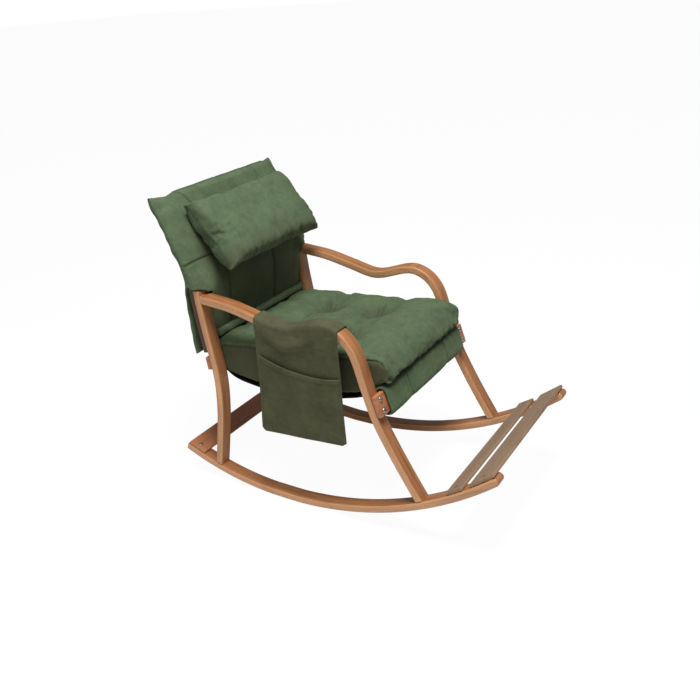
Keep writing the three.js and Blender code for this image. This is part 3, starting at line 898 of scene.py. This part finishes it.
def tuft_marks(points, up):
    """Folds that run out from each tuft and the slit in its middle, as (move, painted shade in the slit
    and folds, painted shade round the tuft).
    """
    move, seam, nap = np.zeros((3, len(points)))
    for number, place in enumerate(TUFTS):
        away = points[:, :2] - on_cushion(place)
        reach = np.linalg.norm(away, axis=1)
        angle = np.arctan2(away[:, 1], away[:, 0])
        folds = np.cos(7 * angle + 1.9 * number) + 0.6 * np.cos(11 * angle + number)
        fade = bell(reach, 0.034, 0.032) * smoothstep(0.004, 0.02, reach)
        slit = bell(away[:, 1] + 0.12 * away[:, 0], 0, 0.0034)
        slit *= 1 - smoothstep(0.014, 0.052, np.abs(away[:, 0]))
        move += up * (0.0034 * folds * fade - 0.006 * slit)
        dark = [slit, 0.6 * bell(reach, 0, 0.015), 0.3 * fade * np.clip(-folds, 0, 1)]
        seam = np.maximum(seam, up * np.max(dark, axis=0))
        # nap here is painted shade: a darker, browner ring round the tuft.
        nap = np.maximum(nap, up * 0.55 * bell(reach, 0, 0.045))
    return move, seam, nap


def seat_cushion():
    low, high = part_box("seat_cushion")
    piece = cushion_form()
    points, facing = coordinates(piece), normals(piece)
    up = smoothstep(0.3, 0.8, facing[:, 2])
    points[:, 2] -= 0.75 * cushion_dents(points, up)
    move, seam, nap = tuft_marks(points, up)
    move += unevenness(points, (0.0012, 0.09, 1), (0.0006, 0.035, 2))
    # Upright wrinkles on the front, where the top rolls over the edge.
    front = smoothstep(0.2, 0.75, -facing[:, 1]) * smoothstep(high.y, low.y, points[:, 1]) ** 3
    across = points[:, 0] + 0.012 * np.sin(points[:, 2] * 60)
    pleats = wave(across, 0.034, 2.2 * ripples(points, 0.12, 5))
    move += 0.0032 * front * pleats * smoothstep(-0.4, 0.8, ripples(points, 0.16, 6))
    # The side seam, with puckers along it.
    side = smoothstep(0.55, 0.9, np.abs(facing[:, 0]))
    height = points[:, 2] - seam_height(points[:, 1])
    groove = side * bell(height, 0, 0.0035)
    pucker = side * bell(height, 0, 0.016) * wave(points[:, 1], 0.017)
    # The front's lower edge is rounder, so that it shades the band below it, and that edge is darkened as
    # painted shade.
    under = smoothstep(low.y + 0.05, low.y, points[:, 1]) * smoothstep(0.1, -0.6, facing[:, 2])
    move += 0.0007 * pucker - 0.0032 * groove - 0.010 * under
    set_coordinates(piece, points + facing * move[:, None])
    # Painted shade in the tufts, in the side seam's groove and under the front edge.
    set_attribute(piece, "seam", np.max([seam, groove, under], axis=0))
    # Painted shade: the sides below the seam, the front's underside and the ring round each tuft turn
    # darker and browner.
    side_shade = 0.85 * side * smoothstep(0.004, -0.004, height)
    front_shade = 0.75 * front * smoothstep(0.35, -0.4, facing[:, 2])
    set_attribute(piece, "painted_shade", np.max([nap, side_shade, front_shade], axis=0))
    return finish_piece(piece, green_cloth, "green_fabric", "frame", "seat_cushion")


def seam_height(y):
    """Height of the cushion's side seam, just under its top edge, at each depth."""
    loop = outline_at("seat_cushion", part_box("seat_cushion")[0].x)
    front, rear = int(np.argmin(loop[:, 0])), int(np.argmax(loop[:, 0]))
    count = len(loop)
    ways = [[loop[(front + step * k) % count] for k in range((step * (rear - front)) % count + 1)]
            for step in (1, -1)]
    under, over = sorted((np.array(w) for w in ways), key=lambda w: w[:, 1].mean())
    bottom = np.interp(y, under[:, 0], under[:, 1])
    top = np.interp(y, over[:, 0], over[:, 1])
    return bottom + (top - bottom) * SIDE_SEAM


seat_cushion()

# ---------- Head pillow ----------
PILLOW_TILT = 45 + STANCE
BACK_LEAN = 60.4 + STANCE  # the way the pillow slides
PILLOW_REST = -0.0548  # where the back cover lies, behind the pillow's middle
PILLOW_GROWTH = (1.04, 1.08)  # cloth size before it is stuffed, over its stuffed size
PILLOW_COLUMNS = 90
PILLOW_ROWS = 48


def pillow_axes():
    """The pillow's own width, height and thickness directions, and half sizes along them."""
    tilt = math.radians(PILLOW_TILT)
    axes = np.array([(1, 0, 0), (0, math.cos(tilt), math.sin(tilt)),
                     (0, -math.sin(tilt), math.cos(tilt))])
    points = np.array([v.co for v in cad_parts["head_pillow"].data.vertices], float)
    centre = (points.min(0) + points.max(0)) / 2
    local = (points - centre) @ axes.T
    return axes, centre, (local.max(0) - local.min(0)) / 2, (local.max(0) + local.min(0)) / 2


def straight_edges(points, places, half):
    """Stretches the stuffed pillow so that its sewn edges run straight, with small ears at the corners."""
    columns, rows = PILLOW_COLUMNS + 1, PILLOW_ROWS + 1
    column = np.round((places[:, 0] + 1) / 2 * PILLOW_COLUMNS).astype(int)
    row = np.round((places[:, 1] + 1) / 2 * PILLOW_ROWS).astype(int)
    reach_x, reach_y = np.zeros(rows), np.zeros(columns)
    np.maximum.at(reach_x, row, np.abs(points[:, 0]))
    np.maximum.at(reach_y, column, np.abs(points[:, 1]))
    v = np.linspace(-1, 1, rows)
    u = np.linspace(-1, 1, columns)
    want_x = half[0] * (0.945 + 0.055 * np.abs(v) ** 12 + 0.004 * np.sin(5 * v))
    want_y = half[1] * (0.93 + 0.07 * np.abs(u) ** 20 + 0.01 * np.sin(7 * u + 1))
    points[:, 0] *= (want_x / reach_x)[row]
    points[:, 1] *= (want_y / reach_y)[column]
    return points


def pillow_sheets(half):
    """Two sheets sewn together round their edges and a little apart in the middle."""
    columns, rows = PILLOW_COLUMNS + 1, PILLOW_ROWS + 1
    u, v = np.meshgrid(np.linspace(-1, 1, columns), np.linspace(-1, 1, rows))
    full = ((1 - np.abs(u) ** 4) * (1 - np.abs(v) ** 4)).clip(0, 1) ** 0.55
    loft = 0.4
    sheets = []
    for sign in (1, -1):
        sheet = np.stack([u * half[0] * PILLOW_GROWTH[0], v * half[1] * PILLOW_GROWTH[1],
                          sign * full * half[2] * loft], 2)
        sheets.append(sheet.reshape(-1, 3))
    faces = grid_faces(rows, columns, False)
    faces += [tuple(reversed(f)) for f in grid_faces(rows, columns, False, columns * rows)]
    piece = make_object("head_pillow_cloth", np.concatenate(sheets), faces)
    return face_outwards(piece, weld_gap=1e-6)


def stuff_pillow(piece, half):
    points = coordinates(piece)
    places = points[:, :2] / (np.array(half[:2]) * PILLOW_GROWTH)
    set_attribute(piece, "seam", np.abs(points[:, 2]) < 1e-7)
    inflate(piece, 7.0, 0.05, frames=22, stiffness=10.0, bending=0.3)
    points = straight_edges(coordinates(piece), places, half)
    points[:, 2] *= half[2] / np.abs(points[:, 2]).max()
    set_coordinates(piece, points)
    subdivide(piece)


def head_pillow():
    axes, centre, half, middle = pillow_axes()
    piece = pillow_sheets(half)
    stuff_pillow(piece, half)
    points, facing = coordinates(piece), normals(piece)
    seam = np.zeros(len(points))
    piece.data.attributes["seam"].data.foreach_get("value", seam)
    move = unevenness(points, (0.0032, 0.11, 11), (0.0012, 0.045, 12))
    across, up = points[:, 0] / half[0], points[:, 1] / half[1]
    rim = smoothstep(0.5, 0.93, np.maximum(np.abs(across), np.abs(up)))
    by_side = half[0] - np.abs(points[:, 0]) < half[1] - np.abs(points[:, 1])
    along = np.where(by_side, points[:, 1], points[:, 0])
    pleats = wave(along, 0.026, 2.5 * ripples(points, 0.09, 13))
    pleats *= smoothstep(-0.4, 0.8, ripples(points, 0.1, 14))
    move += rim * (1 - seam) * 0.0016 * pleats
    # A dent in the middle of the lower edge.
    dent = bell(across, 0.08, 0.09) * bell(up, -0.72, 0.3)
    move -= 0.012 * dent * smoothstep(0, 0.01, points[:, 2])
    points = points + facing * move[:, None]
    # Its rear is flat where it rests on the back cover, at every place it can slide to.
    slope = math.tan(math.radians(BACK_LEAN - PILLOW_TILT))
    points[:, 2] = np.maximum(points[:, 2], PILLOW_REST + slope * points[:, 1])
    set_coordinates(piece, (points + middle) @ axes + centre)
    # Painted shade along the sewn edge.
    set_attribute(piece, "seam", np.clip(seam, 0, 1) * 0.6)
    # Painted shade: the pillow's lower edge and one side turn darker and browner.
    pillow_shade = np.maximum(smoothstep(-0.3, -1.0, up), smoothstep(0.6, 1.0, across))
    set_attribute(piece, "painted_shade", 0.5 * pillow_shade)
    return finish_piece(piece, green_cloth, "green_fabric", "pillow", "head_pillow")


head_pillow()

# ---------- Back cover ----------
COVER_ROWS = 120
SHEET_ROWS = 60
FRONT_COLUMNS = 112
WRAP_COLUMNS = 14
REAR_COLUMNS = 84
BACK_SEAMS = (-0.140, 0.088)  # where the upright seams run
CROSS_SEAM = 0.257  # share of the sleeve's height at which the level seam crosses
TOP_SAG = 0.003
CUFF_FADE = 0.055  # the cuff's drop dies out over this length


def cover_lines():
    """Front and rear lines of the sleeve, of the front panel and of the rear flap, bottom first."""
    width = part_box("back_cover")[1].x
    lines = {}
    for name, x in (("sleeve", -width), ("panel", -PANEL_HALF_WIDTH), ("flap", -FLAP_HALF_WIDTH)):
        loop = outline_at("back_cover", x)
        front = int(np.argmin(loop[:, 1] * 10 + loop[:, 0]))
        rear = int(np.argmin(loop[:, 1] * 10 - loop[:, 0]))
        top = int(np.argmax(loop[:, 1]))
        lines[name] = (split_chain(loop, front, top, -1), split_chain(loop, rear, top, 1))
    return width, lines


def below_sleeve(line, edge):
    """The part of a sheet's line below the sleeve's edge, drawn in smoothly to meet that edge."""
    kept = np.array([p for p in line if p[1] < edge[1] - 0.002])
    heights = kept[:, 1]
    end = np.interp(edge[1], line[:, 1], line[:, 0])
    kept[:, 0] += (edge[0] - end) * smoothstep(edge[1] - 0.10, edge[1], heights)
    return np.vstack([kept, edge])


def channel_puff(x, rise, height):
    """How far the padding stands out between the seams, and where the seams are, on the front."""
    below = smoothstep(height * 0.62, height * 0.5, rise)
    bounds = (-0.240, *BACK_SEAMS, 0.240)
    channels = np.zeros(len(x))
    for a, b in zip(bounds, bounds[1:]):
        t = np.clip((2 * x - a - b) / (b - a), -1, 1)
        channels = np.where((x >= a) & (x <= b), 1 - t ** 4, channels)
    whole = 1 - np.clip(np.abs(x) / 0.26, 0, 1) ** 6
    puff = below * channels + (1 - below) * whole
    level = np.abs(rise - height * CROSS_SEAM)
    puff *= 0.25 + 0.75 * smoothstep(0, 0.045, level)
    upright = np.minimum(*(np.abs(x - seam) for seam in BACK_SEAMS))
    seam = np.maximum(bell(upright, 0, 0.0035) * below, bell(level, 0, 0.0035))
    return puff, seam


def piped_edge(x, rise, height):
    """Nearness to the piped edge of the front panel: along the top and down inside each ear."""
    corners = [(-0.150, height - 0.075), (-0.190, height - 0.004), (0.248, height - 0.004),
               (0.272, height - 0.050)]
    flat = np.stack([x, rise], 1)
    gap = np.min([distance_to_segment(flat, a, b) for a, b in zip(corners, corners[1:])], axis=0)
    return bell(gap, 0, 0.0042)


def cuff_drop(x):
    """How far the front of the cuff hangs down onto the tops of the rear legs."""
    beside = 0.022 * bell(np.abs(x), PANEL_REACH + 0.003, 0.018)
    return beside + 0.005 * smoothstep(PANEL_REACH, PANEL_REACH + 0.02, np.abs(x))


def cover_ring(width):
    """Columns round the sleeve: the front from right to left, left side, rear and right side.

    Returns where each lies across the chair, and how far back, from 0 at the front to 1.
    """
    front = np.linspace(-PANEL_REACH, PANEL_REACH, FRONT_COLUMNS + 1)
    turn = np.linspace(0, math.pi, WRAP_COLUMNS + 2)[1:-1]
    outer = width - 0.002
    wrap = np.where(turn < math.pi / 2,
                    PANEL_REACH + (outer - PANEL_REACH) * np.sin(turn) ** 0.8,
                    FLAP_HALF_WIDTH + (outer - FLAP_HALF_WIDTH) * np.sin(turn))
    back = (1 - np.cos(turn)) / 2
    rear = np.linspace(FLAP_HALF_WIDTH, -FLAP_HALF_WIDTH, REAR_COLUMNS + 1)
    return (np.r_[front, wrap, rear, -wrap[::-1]],
            np.r_[np.zeros(len(front)), back, np.ones(len(rear)), back[::-1]])


def sleeve_points(front, rear, lean, height, ring_x, depth):
    rows = []
    for row in range(COVER_ROWS):
        share = row / (COVER_ROWS - 1)
        dip = TOP_SAG + 0.005 * (bell(ring_x, -0.225, 0.022) + bell(ring_x, 0.256, 0.012))
        ear = smoothstep(0.262, 0.280, np.abs(ring_x))
        sag = dip * smoothstep(0.86, 1.0, share) * (1 - ear)
        sag = sag + cuff_drop(ring_x) * (depth < 0.5) * smoothstep(CUFF_FADE / height, 0, share)
        base = front[row] + depth[:, None] * (rear[row] - front[row]) - sag[:, None] * lean
        rows.append(np.c_[ring_x, base])
    return np.concatenate(rows)


def sheet_faces(rows, columns, top, start):
    """Faces of a sheet that hangs from points numbered from `top`; its own start at `start`."""
    faces = []
    for i in range(rows):
        above = top if i == 0 else start + (i - 1) * columns
        below = start + i * columns
        faces += [(below + j, below + j + 1, above + j + 1, above + j) for j in range(columns - 1)]
    return faces


def back_cover():
    width, lines = cover_lines()
    front, rear = (resampled(line, COVER_ROWS) for line in lines["sleeve"])
    height = np.linalg.norm(front[-1] - front[0])
    lean = front[-1] - front[COVER_ROWS // 2]
    lean /= np.linalg.norm(lean)
    ring_x, depth = cover_ring(width)
    points = [sleeve_points(front, rear, lean, height, ring_x, depth)]
    faces = grid_faces(COVER_ROWS, len(ring_x), True)
    # The two sheets that hang below the sleeve. The front one follows the cuff's drop.
    panel = resampled(below_sleeve(lines["panel"][0], front[0]), SHEET_ROWS)[:-1][::-1]
    flap = resampled(below_sleeve(lines["flap"][1], rear[0]), SHEET_ROWS)[:-1][::-1]
    rear_start = FRONT_COLUMNS + 1 + WRAP_COLUMNS
    for line, top, columns in ((panel, 0, FRONT_COLUMNS + 1), (flap, rear_start, REAR_COLUMNS + 1)):
        xs = ring_x[top:top + columns]
        faces += sheet_faces(len(line), columns, top, sum(map(len, points)))
        for place in line:
            row = np.tile(place, (columns, 1))
            if line is panel:
                fade = smoothstep(CUFF_FADE, 0, np.linalg.norm(place - front[0]))
                row = row - (cuff_drop(xs) * fade)[:, None] * lean
            points.append(np.c_[xs, row])
    piece = make_object("back_cover_cloth", np.concatenate(points), faces)
    face_outwards(piece, weld_gap=1e-5)
    on_front = coordinates(piece)[:, 1] < front[:, 0].min() + 0.02
    if normals(piece)[on_front, 1].mean() > 0:
        piece.data.flip_normals()
    shape_cover(piece, front[0], lean, height)
    thicken(piece, COVER_CLOTH)
    return finish_piece(piece, green_cloth, "green_fabric", "frame", "back_cover")


def shape_cover(piece, foot, lean, height):
    """Padding, seams, piping and a little slackness, with painted shade in the seams, along the piping and
    under the pillow.
    """
    points, facing = coordinates(piece), normals(piece)
    x, ahead = points[:, 0], smoothstep(0.1, 0.5, -facing[:, 1])
    rise = (points[:, 1:] - foot) @ lean
    puff, seam = channel_puff(x, rise, height)
    top = smoothstep(height * 0.985, height * 0.9, rise)
    move = ahead * top * (0.0065 * puff - 0.0045 * seam)
    edge = piped_edge(x, rise, height) * smoothstep(-0.3, 0.3, -facing[:, 1])
    move += 0.0022 * edge
    # Painted shade in the front's seams and along the piping.
    shade = np.maximum(seam * ahead, edge)
    behind = smoothstep(0.2, 0.7, facing[:, 1])
    move += behind * 0.002 * ripples(points, 0.16, 21)
    move += unevenness(points, (0.0017, 0.12, 22), (0.0007, 0.045, 23))
    # Cross wrinkles down the sides, where the cloth is pulled round the posts.
    side = smoothstep(0.19, 0.27, np.abs(x))
    move += side * 0.0009 * (1 + wave(rise, 0.052, 3 * ripples(points, 0.15, 24)))
    hem = smoothstep(0.0, -0.20, rise) * behind
    move += hem * 0.004 * wave(x, 0.19, 0.6)
    points = points + facing * move[:, None]
    points[:, 0] += 0.006 * np.sign(x) * side * smoothstep(-0.15, -0.21, rise)
    set_coordinates(piece, points)
    set_attribute(piece, "seam", np.clip(shade, 0, 1))
    # Painted shade: the front panel under the pillow, in the pillow's shadow, turns darker and browner.
    below_pillow = ahead * smoothstep(height * 0.62, height * 0.42, rise)
    set_attribute(piece, "painted_shade", 0.6 * below_pillow * smoothstep(0.235, 0.2, np.abs(x)))


back_cover()

# ---------- Rolled edge at the foot of the back ----------


def back_roll():
    low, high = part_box("back_roll")
    radius = (high.z - low.z) / 2
    middle = ((low.y + high.y) / 2, (low.z + high.z) / 2)
    sides = 28
    angles = np.arange(sides) / sides * 2 * math.pi
    rings = []
    for x in np.linspace(low.x, high.x, 150):
        end = min(x - low.x, high.x - x)
        size = radius * math.sqrt(max(0.0, 1 - max(0.0, 1 - end / 0.009) ** 2))
        size = max(size, radius * 0.12)
        welt = 0.0016 * bell((angles - 2.4 + math.pi) % (2 * math.pi) - math.pi, 0, 0.16)
        rings.append([(x, middle[0] + (size + w) * math.cos(a), middle[1] + (size + w) * math.sin(a))
                      for a, w in zip(angles, welt)])
    points = np.array(rings).reshape(-1, 3)
    piece = make_object("back_roll_cloth", points, capped_tube(len(rings), sides))
    face_outwards(piece)
    push_out(piece, unevenness(coordinates(piece), (0.0009, 0.05, 31), (0.0007, 0.018, 32)))
    return finish_piece(piece, green_cloth, "green_fabric", "frame", "back_roll")


back_roll()

# ---------- Seat sling and the band round the front rail ----------
BAND_SEAM_X = 0.115  # its upright seams
BAND_OVERHANG = 0.0105  # beyond the sling, up to the front legs
BAND_STAND = 0.0115  # off the rail
BAND_PUFF = 0.003
BAND_LINING = 0.0065  # its inner face, off the rail


def seat_sling():
    low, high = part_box("seat_sling")
    loop = refined(outline_at("seat_sling", low.x), 0.006, degrees=60)
    piece = rounded_slab("seat_sling_cloth", loop, low.x, high.x, 0.0018, steps=3)
    push_out(piece, unevenness(coordinates(piece), (0.0006, 0.08, 41)))
    return finish_piece(piece, sling_cloth, "sling_fabric", "frame", "seat_sling")


def front_band():
    """Padded green cloth round the front rail, with two upright seams."""
    rail = outline_at("front_rail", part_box("front_rail")[0].x)
    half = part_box("seat_sling")[1].x + BAND_OVERHANG
    outline = with_round_corners(rail, 0.005)
    ring = resampled(np.vstack([outline, outline[:1]]), 65)[:-1]
    edge = np.roll(ring, -1, 0) - np.roll(ring, 1, 0)
    edge /= np.linalg.norm(edge, axis=1)[:, None]
    normal = np.stack([edge[:, 1], -edge[:, 0]], 1)
    normal *= np.sign(np.sum(normal * (ring - rail.mean(0)), axis=1))[:, None]
    outer, inner = [], []
    for x in np.linspace(-half, half, 150):
        gap = min(abs(abs(x) - BAND_SEAM_X), abs(abs(x) - half))
        puff = BAND_PUFF * (1 - math.exp(-gap / 0.02) - math.exp(-(gap / 0.0025) ** 2))
        outer.append(np.c_[np.full(len(ring), x), ring + normal * (BAND_STAND + puff)])
        inner.append(np.c_[np.full(len(ring), x), ring + normal * BAND_LINING])
    points = np.concatenate(outer + inner[::-1] + [outer[0]])
    faces = grid_faces(2 * len(outer) + 1, len(ring), True)
    piece = face_outwards(make_object("front_band_cloth", points, faces), weld_gap=1e-6)
    points, facing = coordinates(piece), normals(piece)
    move = unevenness(points, (0.0008, 0.09, 51), (0.0004, 0.03, 52))
    push_out(piece, np.clip(move, -0.0005, 0.002))
    # Painted shade: the band's top, under the cushion, is darkened, and its seams too.
    seam = 0.6 * bell(np.abs(points[:, 0]), BAND_SEAM_X, 0.0026)
    covered = 0.9 * smoothstep(0.35, 0.85, facing[:, 2])
    set_attribute(piece, "seam", np.maximum(seam, covered))
    return finish_piece(piece, green_cloth, "green_fabric", "frame")


seat_sling()
front_band()

# ---------- Arm pocket ----------
ARM = "right_arm_and_front_leg"
ARM_GAP = 0.0032  # between the arm's sides and the cloth
POCKET_SLEEVE_DROP = 0.03  # how far the cloth hangs down inside the arm
POCKET_CORNER = 0.006
POCKET_COLUMNS = 76
POCKET_CLOTH = 0.0028
PATCH_CLOTH = 0.0022
PATCH_ROWS, PATCH_COLUMNS = 61, 71
FOLD_DEPTH = 0.010
SLACK = 0.0022
MOUTH_SAG = 0.026


def heights_over(loop, y):
    """The heights at which an outline crosses one place along the chair."""
    return [z0 + (z1 - z0) * (y - y0) / (y1 - y0)
            for (y0, z0), (y1, z1) in zip(loop, np.roll(loop, -1, 0))
            if (y0 - y) * (y1 - y) <= 0 and abs(y1 - y0) > 1e-9]


def pocket_rows():
    """Rows of the pocket's cloth from inside the arm, over its top and down to the hem."""
    bag = outline_at("pocket_bag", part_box("pocket_bag")[1].x)
    saddle_low, saddle_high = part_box("pocket_saddle")
    arm_low, arm_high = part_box(ARM)
    arm = outline_at(ARM, arm_low.x)
    share = np.linspace(0, 1, POCKET_COLUMNS)
    top_y = saddle_low.y + 0.002 + share * (saddle_high.y - saddle_low.y - 0.004)
    crown = np.array([max(heights_over(arm, y)) for y in top_y]) + 0.0022
    outer, inner, corner = arm_low.x - ARM_GAP, arm_high.x + ARM_GAP, POCKET_CORNER
    bend = [(corner * (1 - math.cos(a)), corner * (1 - math.sin(a)))
            for a in np.radians([0, 30, 60, 90])]
    profile = [(inner, drop) for drop in np.linspace(POCKET_SLEEVE_DROP, corner, 7)]
    profile += [(inner - across, drop) for across, drop in bend]
    profile += [(x, 0) for x in np.linspace(inner - corner, outer + corner, 10)[1:-1]]
    profile += [(outer + across, drop) for across, drop in reversed(bend)]
    rows = [np.c_[np.full(POCKET_COLUMNS, x), top_y, crown - drop] for x, drop in profile]
    head = np.c_[top_y, crown - corner]
    foot = np.array([bag_foot(bag, s) for s in share])
    for step in np.linspace(0, 1, 70)[1:]:
        rows.append(np.c_[np.full(POCKET_COLUMNS, outer), head + (foot - head) * step])
    return rows


def bag_foot(bag, share):
    """A point on the pocket's lower hem: 0 is its front corner and 1 its rear corner."""
    front_y = bag[:, 0].min()
    rear_y = bag[bag[:, 1] < bag[:, 1].min() + 0.075][:, 0].max()
    y = front_y + 0.001 + (rear_y - front_y - 0.002) * share
    return np.array([y, min(heights_over(bag, y))])


def pocket_folds(points):
    """A swag below the arm's dip with slack wrinkles under it, as (fold, how far it stands out)."""
    low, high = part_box("pocket_saddle")
    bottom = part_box("pocket_bag")[0].z
    fall = smoothstep(high.z - 0.01, bottom, points[:, 2])
    share = (points[:, 1] - low.y) / (high.y - low.y)
    swag = high.z - 0.088 + 0.75 * np.abs(share - 0.62) ** 1.5 * (high.y - low.y)
    above = points[:, 2] - swag
    width = np.where(above > 0, 0.024, 0.009)
    fold = np.exp(-(above / width) ** 2) * bell(share, 0.62, 0.30)
    fold += 0.45 * bell(share - 0.10 * fall, 0.88, 0.06) * np.exp(-fall * 4)
    fold += 0.4 * bell(share + 0.35 * fall, 0.30, 0.06) * np.exp(-fall * 4)
    slack = 0.55 * ripples(points * (1, 0.45, 1), 0.075, 61) + 0.35 * ripples(points, 0.05, 62)
    slack += 0.5 * ripples(points * (1, 1, 0.4), 0.13, 63)
    slack = slack * smoothstep(0.02, 0.2, fall) + 0.6
    return fold, FOLD_DEPTH * np.clip(fold, 0, 1.2) + SLACK * slack


def arm_pocket():
    rows = pocket_rows()
    faces = grid_faces(len(rows), POCKET_COLUMNS, False)
    piece = face_outwards(make_object("arm_pocket_cloth", np.concatenate(rows), faces))
    if np.mean(normals(piece)[-POCKET_COLUMNS:, 0]) > 0:
        piece.data.flip_normals()
    points = coordinates(piece)
    outside = smoothstep(0.0, 0.004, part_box(ARM)[0].x - points[:, 0])
    fold, stand = pocket_folds(points)
    points[:, 0] -= outside * stand
    points[:, 2] += smoothstep(0.55, 0.9, normals(piece)[:, 2]) * 0.0022 * fold
    set_coordinates(piece, points)
    thicken(piece, POCKET_CLOTH, offset=1)
    finish_piece(piece, shaded_pocket_cloth, "pocket_fabric", None, "pocket_saddle", "pocket_bag")
    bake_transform(piece)
    return piece


def pocket_patch():
    """The outer layer, sewn on round its sides and foot, with a sagging, hemmed mouth."""
    bag = outline_at("pocket_bag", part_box("pocket_bag")[1].x)
    patch = outline_at("pocket_bag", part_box("pocket_bag")[0].x)
    rear = patch[np.argmax(patch[:, 1] + 0.2 * patch[:, 0])]
    front = patch[np.argmax(patch[:, 1] - 0.6 * patch[:, 0])]
    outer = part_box(ARM)[0].x - ARM_GAP - POCKET_CLOTH
    down, across = np.meshgrid(np.linspace(0, 1, PATCH_ROWS), np.linspace(0, 1, PATCH_COLUMNS),
                               indexing="ij")
    down, across = down.ravel(), across.ravel()
    grid = []
    for t, s in zip(down, across):
        top = front + (rear - front) * s
        top = top - np.array([0, MOUTH_SAG * (1 - (2 * s - 0.9) ** 2 / 1.21) * 0.9])
        foot = bag_foot(bag, s) + np.array([0, 0.0015])
        belly = (1 - math.exp(-min(s, 1 - s) / 0.09)) * (1 - t ** 3)
        grid.append((outer - 0.0008 - 0.0052 * belly, *(top + (foot - top) * t)))
    faces = grid_faces(PATCH_ROWS, PATCH_COLUMNS, False)
    piece = face_outwards(make_object("arm_pocket_patch", grid, faces))
    if np.mean(normals(piece)[:, 0]) > 0:
        piece.data.flip_normals()
    points = coordinates(piece)
    points[:, 0] -= pocket_folds(points)[1] + 0.0016 * smoothstep(0.085, 0.075, down)
    set_coordinates(piece, points)
    # Painted shade along the hem and the sewn edges.
    edge = np.minimum(np.minimum(across, 1 - across) * 0.28, (1 - down) * 0.23)
    seam = np.maximum(0.4 * bell(down, 0.085, 0.008), 0.5 * bell(edge, 0.006, 0.0018))
    set_attribute(piece, "seam", seam)
    thicken(piece, PATCH_CLOTH, offset=1)
    return finish_piece(piece, shaded_pocket_cloth, "pocket_fabric", "pocket")


arm_pocket()
pocket_patch()

# ---------- Floor, light and camera ----------


def area_light(name, place, aim, size, energy, colour):
    data = bpy.data.lights.new(name, "AREA")
    data.shape = "DISK"
    data.size = size
    data.energy = energy
    data.color = colour
    light = bpy.data.objects.new(name, data)
    light.location = place
    light.rotation_euler = (Vector(aim) - Vector(place)).to_track_quat("-Z", "Y").to_euler()
    bpy.context.scene.collection.objects.link(light)


def stage():
    corners = [(x * FLOOR_REACH, y * FLOOR_REACH, 0) for x, y in ((-1, -1), (1, -1), (1, 1), (-1, 1))]
    floor = make_object("floor", corners, [(0, 1, 2, 3)])
    floor.location.z = cad_bounds[0].z
    floor.data.materials.append(floor_material())
    world = bpy.data.worlds.new("studio")
    world.use_nodes = True
    tree = world.node_tree
    sky = tree.nodes["Background"]
    sky.inputs["Color"].default_value = (1.0, 1.0, 1.0, 1)
    path = tree.nodes.new("ShaderNodeLightPath")
    strength = tree.nodes.new("ShaderNodeMapRange")
    strength.inputs["To Min"].default_value = AMBIENT
    strength.inputs["To Max"].default_value = 1.0
    tree.links.new(path.outputs["Is Camera Ray"], strength.inputs["Value"])
    tree.links.new(strength.outputs["Result"], sky.inputs["Strength"])
    bpy.context.scene.world = world
    bpy.context.scene.view_settings.view_transform = "Standard"
    middle = (cad_bounds[0] + cad_bounds[1]) / 2
    area_light("key", (-0.8, -0.6, 3.6), middle, 1.4, KEY_POWER, (0.99, 1.0, 0.96))
    area_light("fill", (-3.2, -1.0, 1.2), middle, 2.5, FILL_POWER, (1.0, 0.95, 0.9))


def camera():
    data = bpy.data.cameras.new("camera")
    data.lens = CAMERA_LENS
    cam = bpy.data.objects.new("camera", data)
    bpy.context.scene.collection.objects.link(cam)
    azimuth, elevation = math.radians(CAMERA_AZIMUTH), math.radians(CAMERA_ELEVATION)
    back = Vector((math.sin(azimuth) * math.cos(elevation),
                   -math.cos(azimuth) * math.cos(elevation), math.sin(elevation)))
    turn = (-back).to_track_quat("-Z", "Y").to_matrix().to_4x4()
    lean = Matrix.Rotation(math.radians(STANCE), 4, "X")
    cam.matrix_world = lean @ Matrix.Translation(CAMERA_PLACE) @ turn
    bpy.context.scene.camera = cam


stage()
camera()
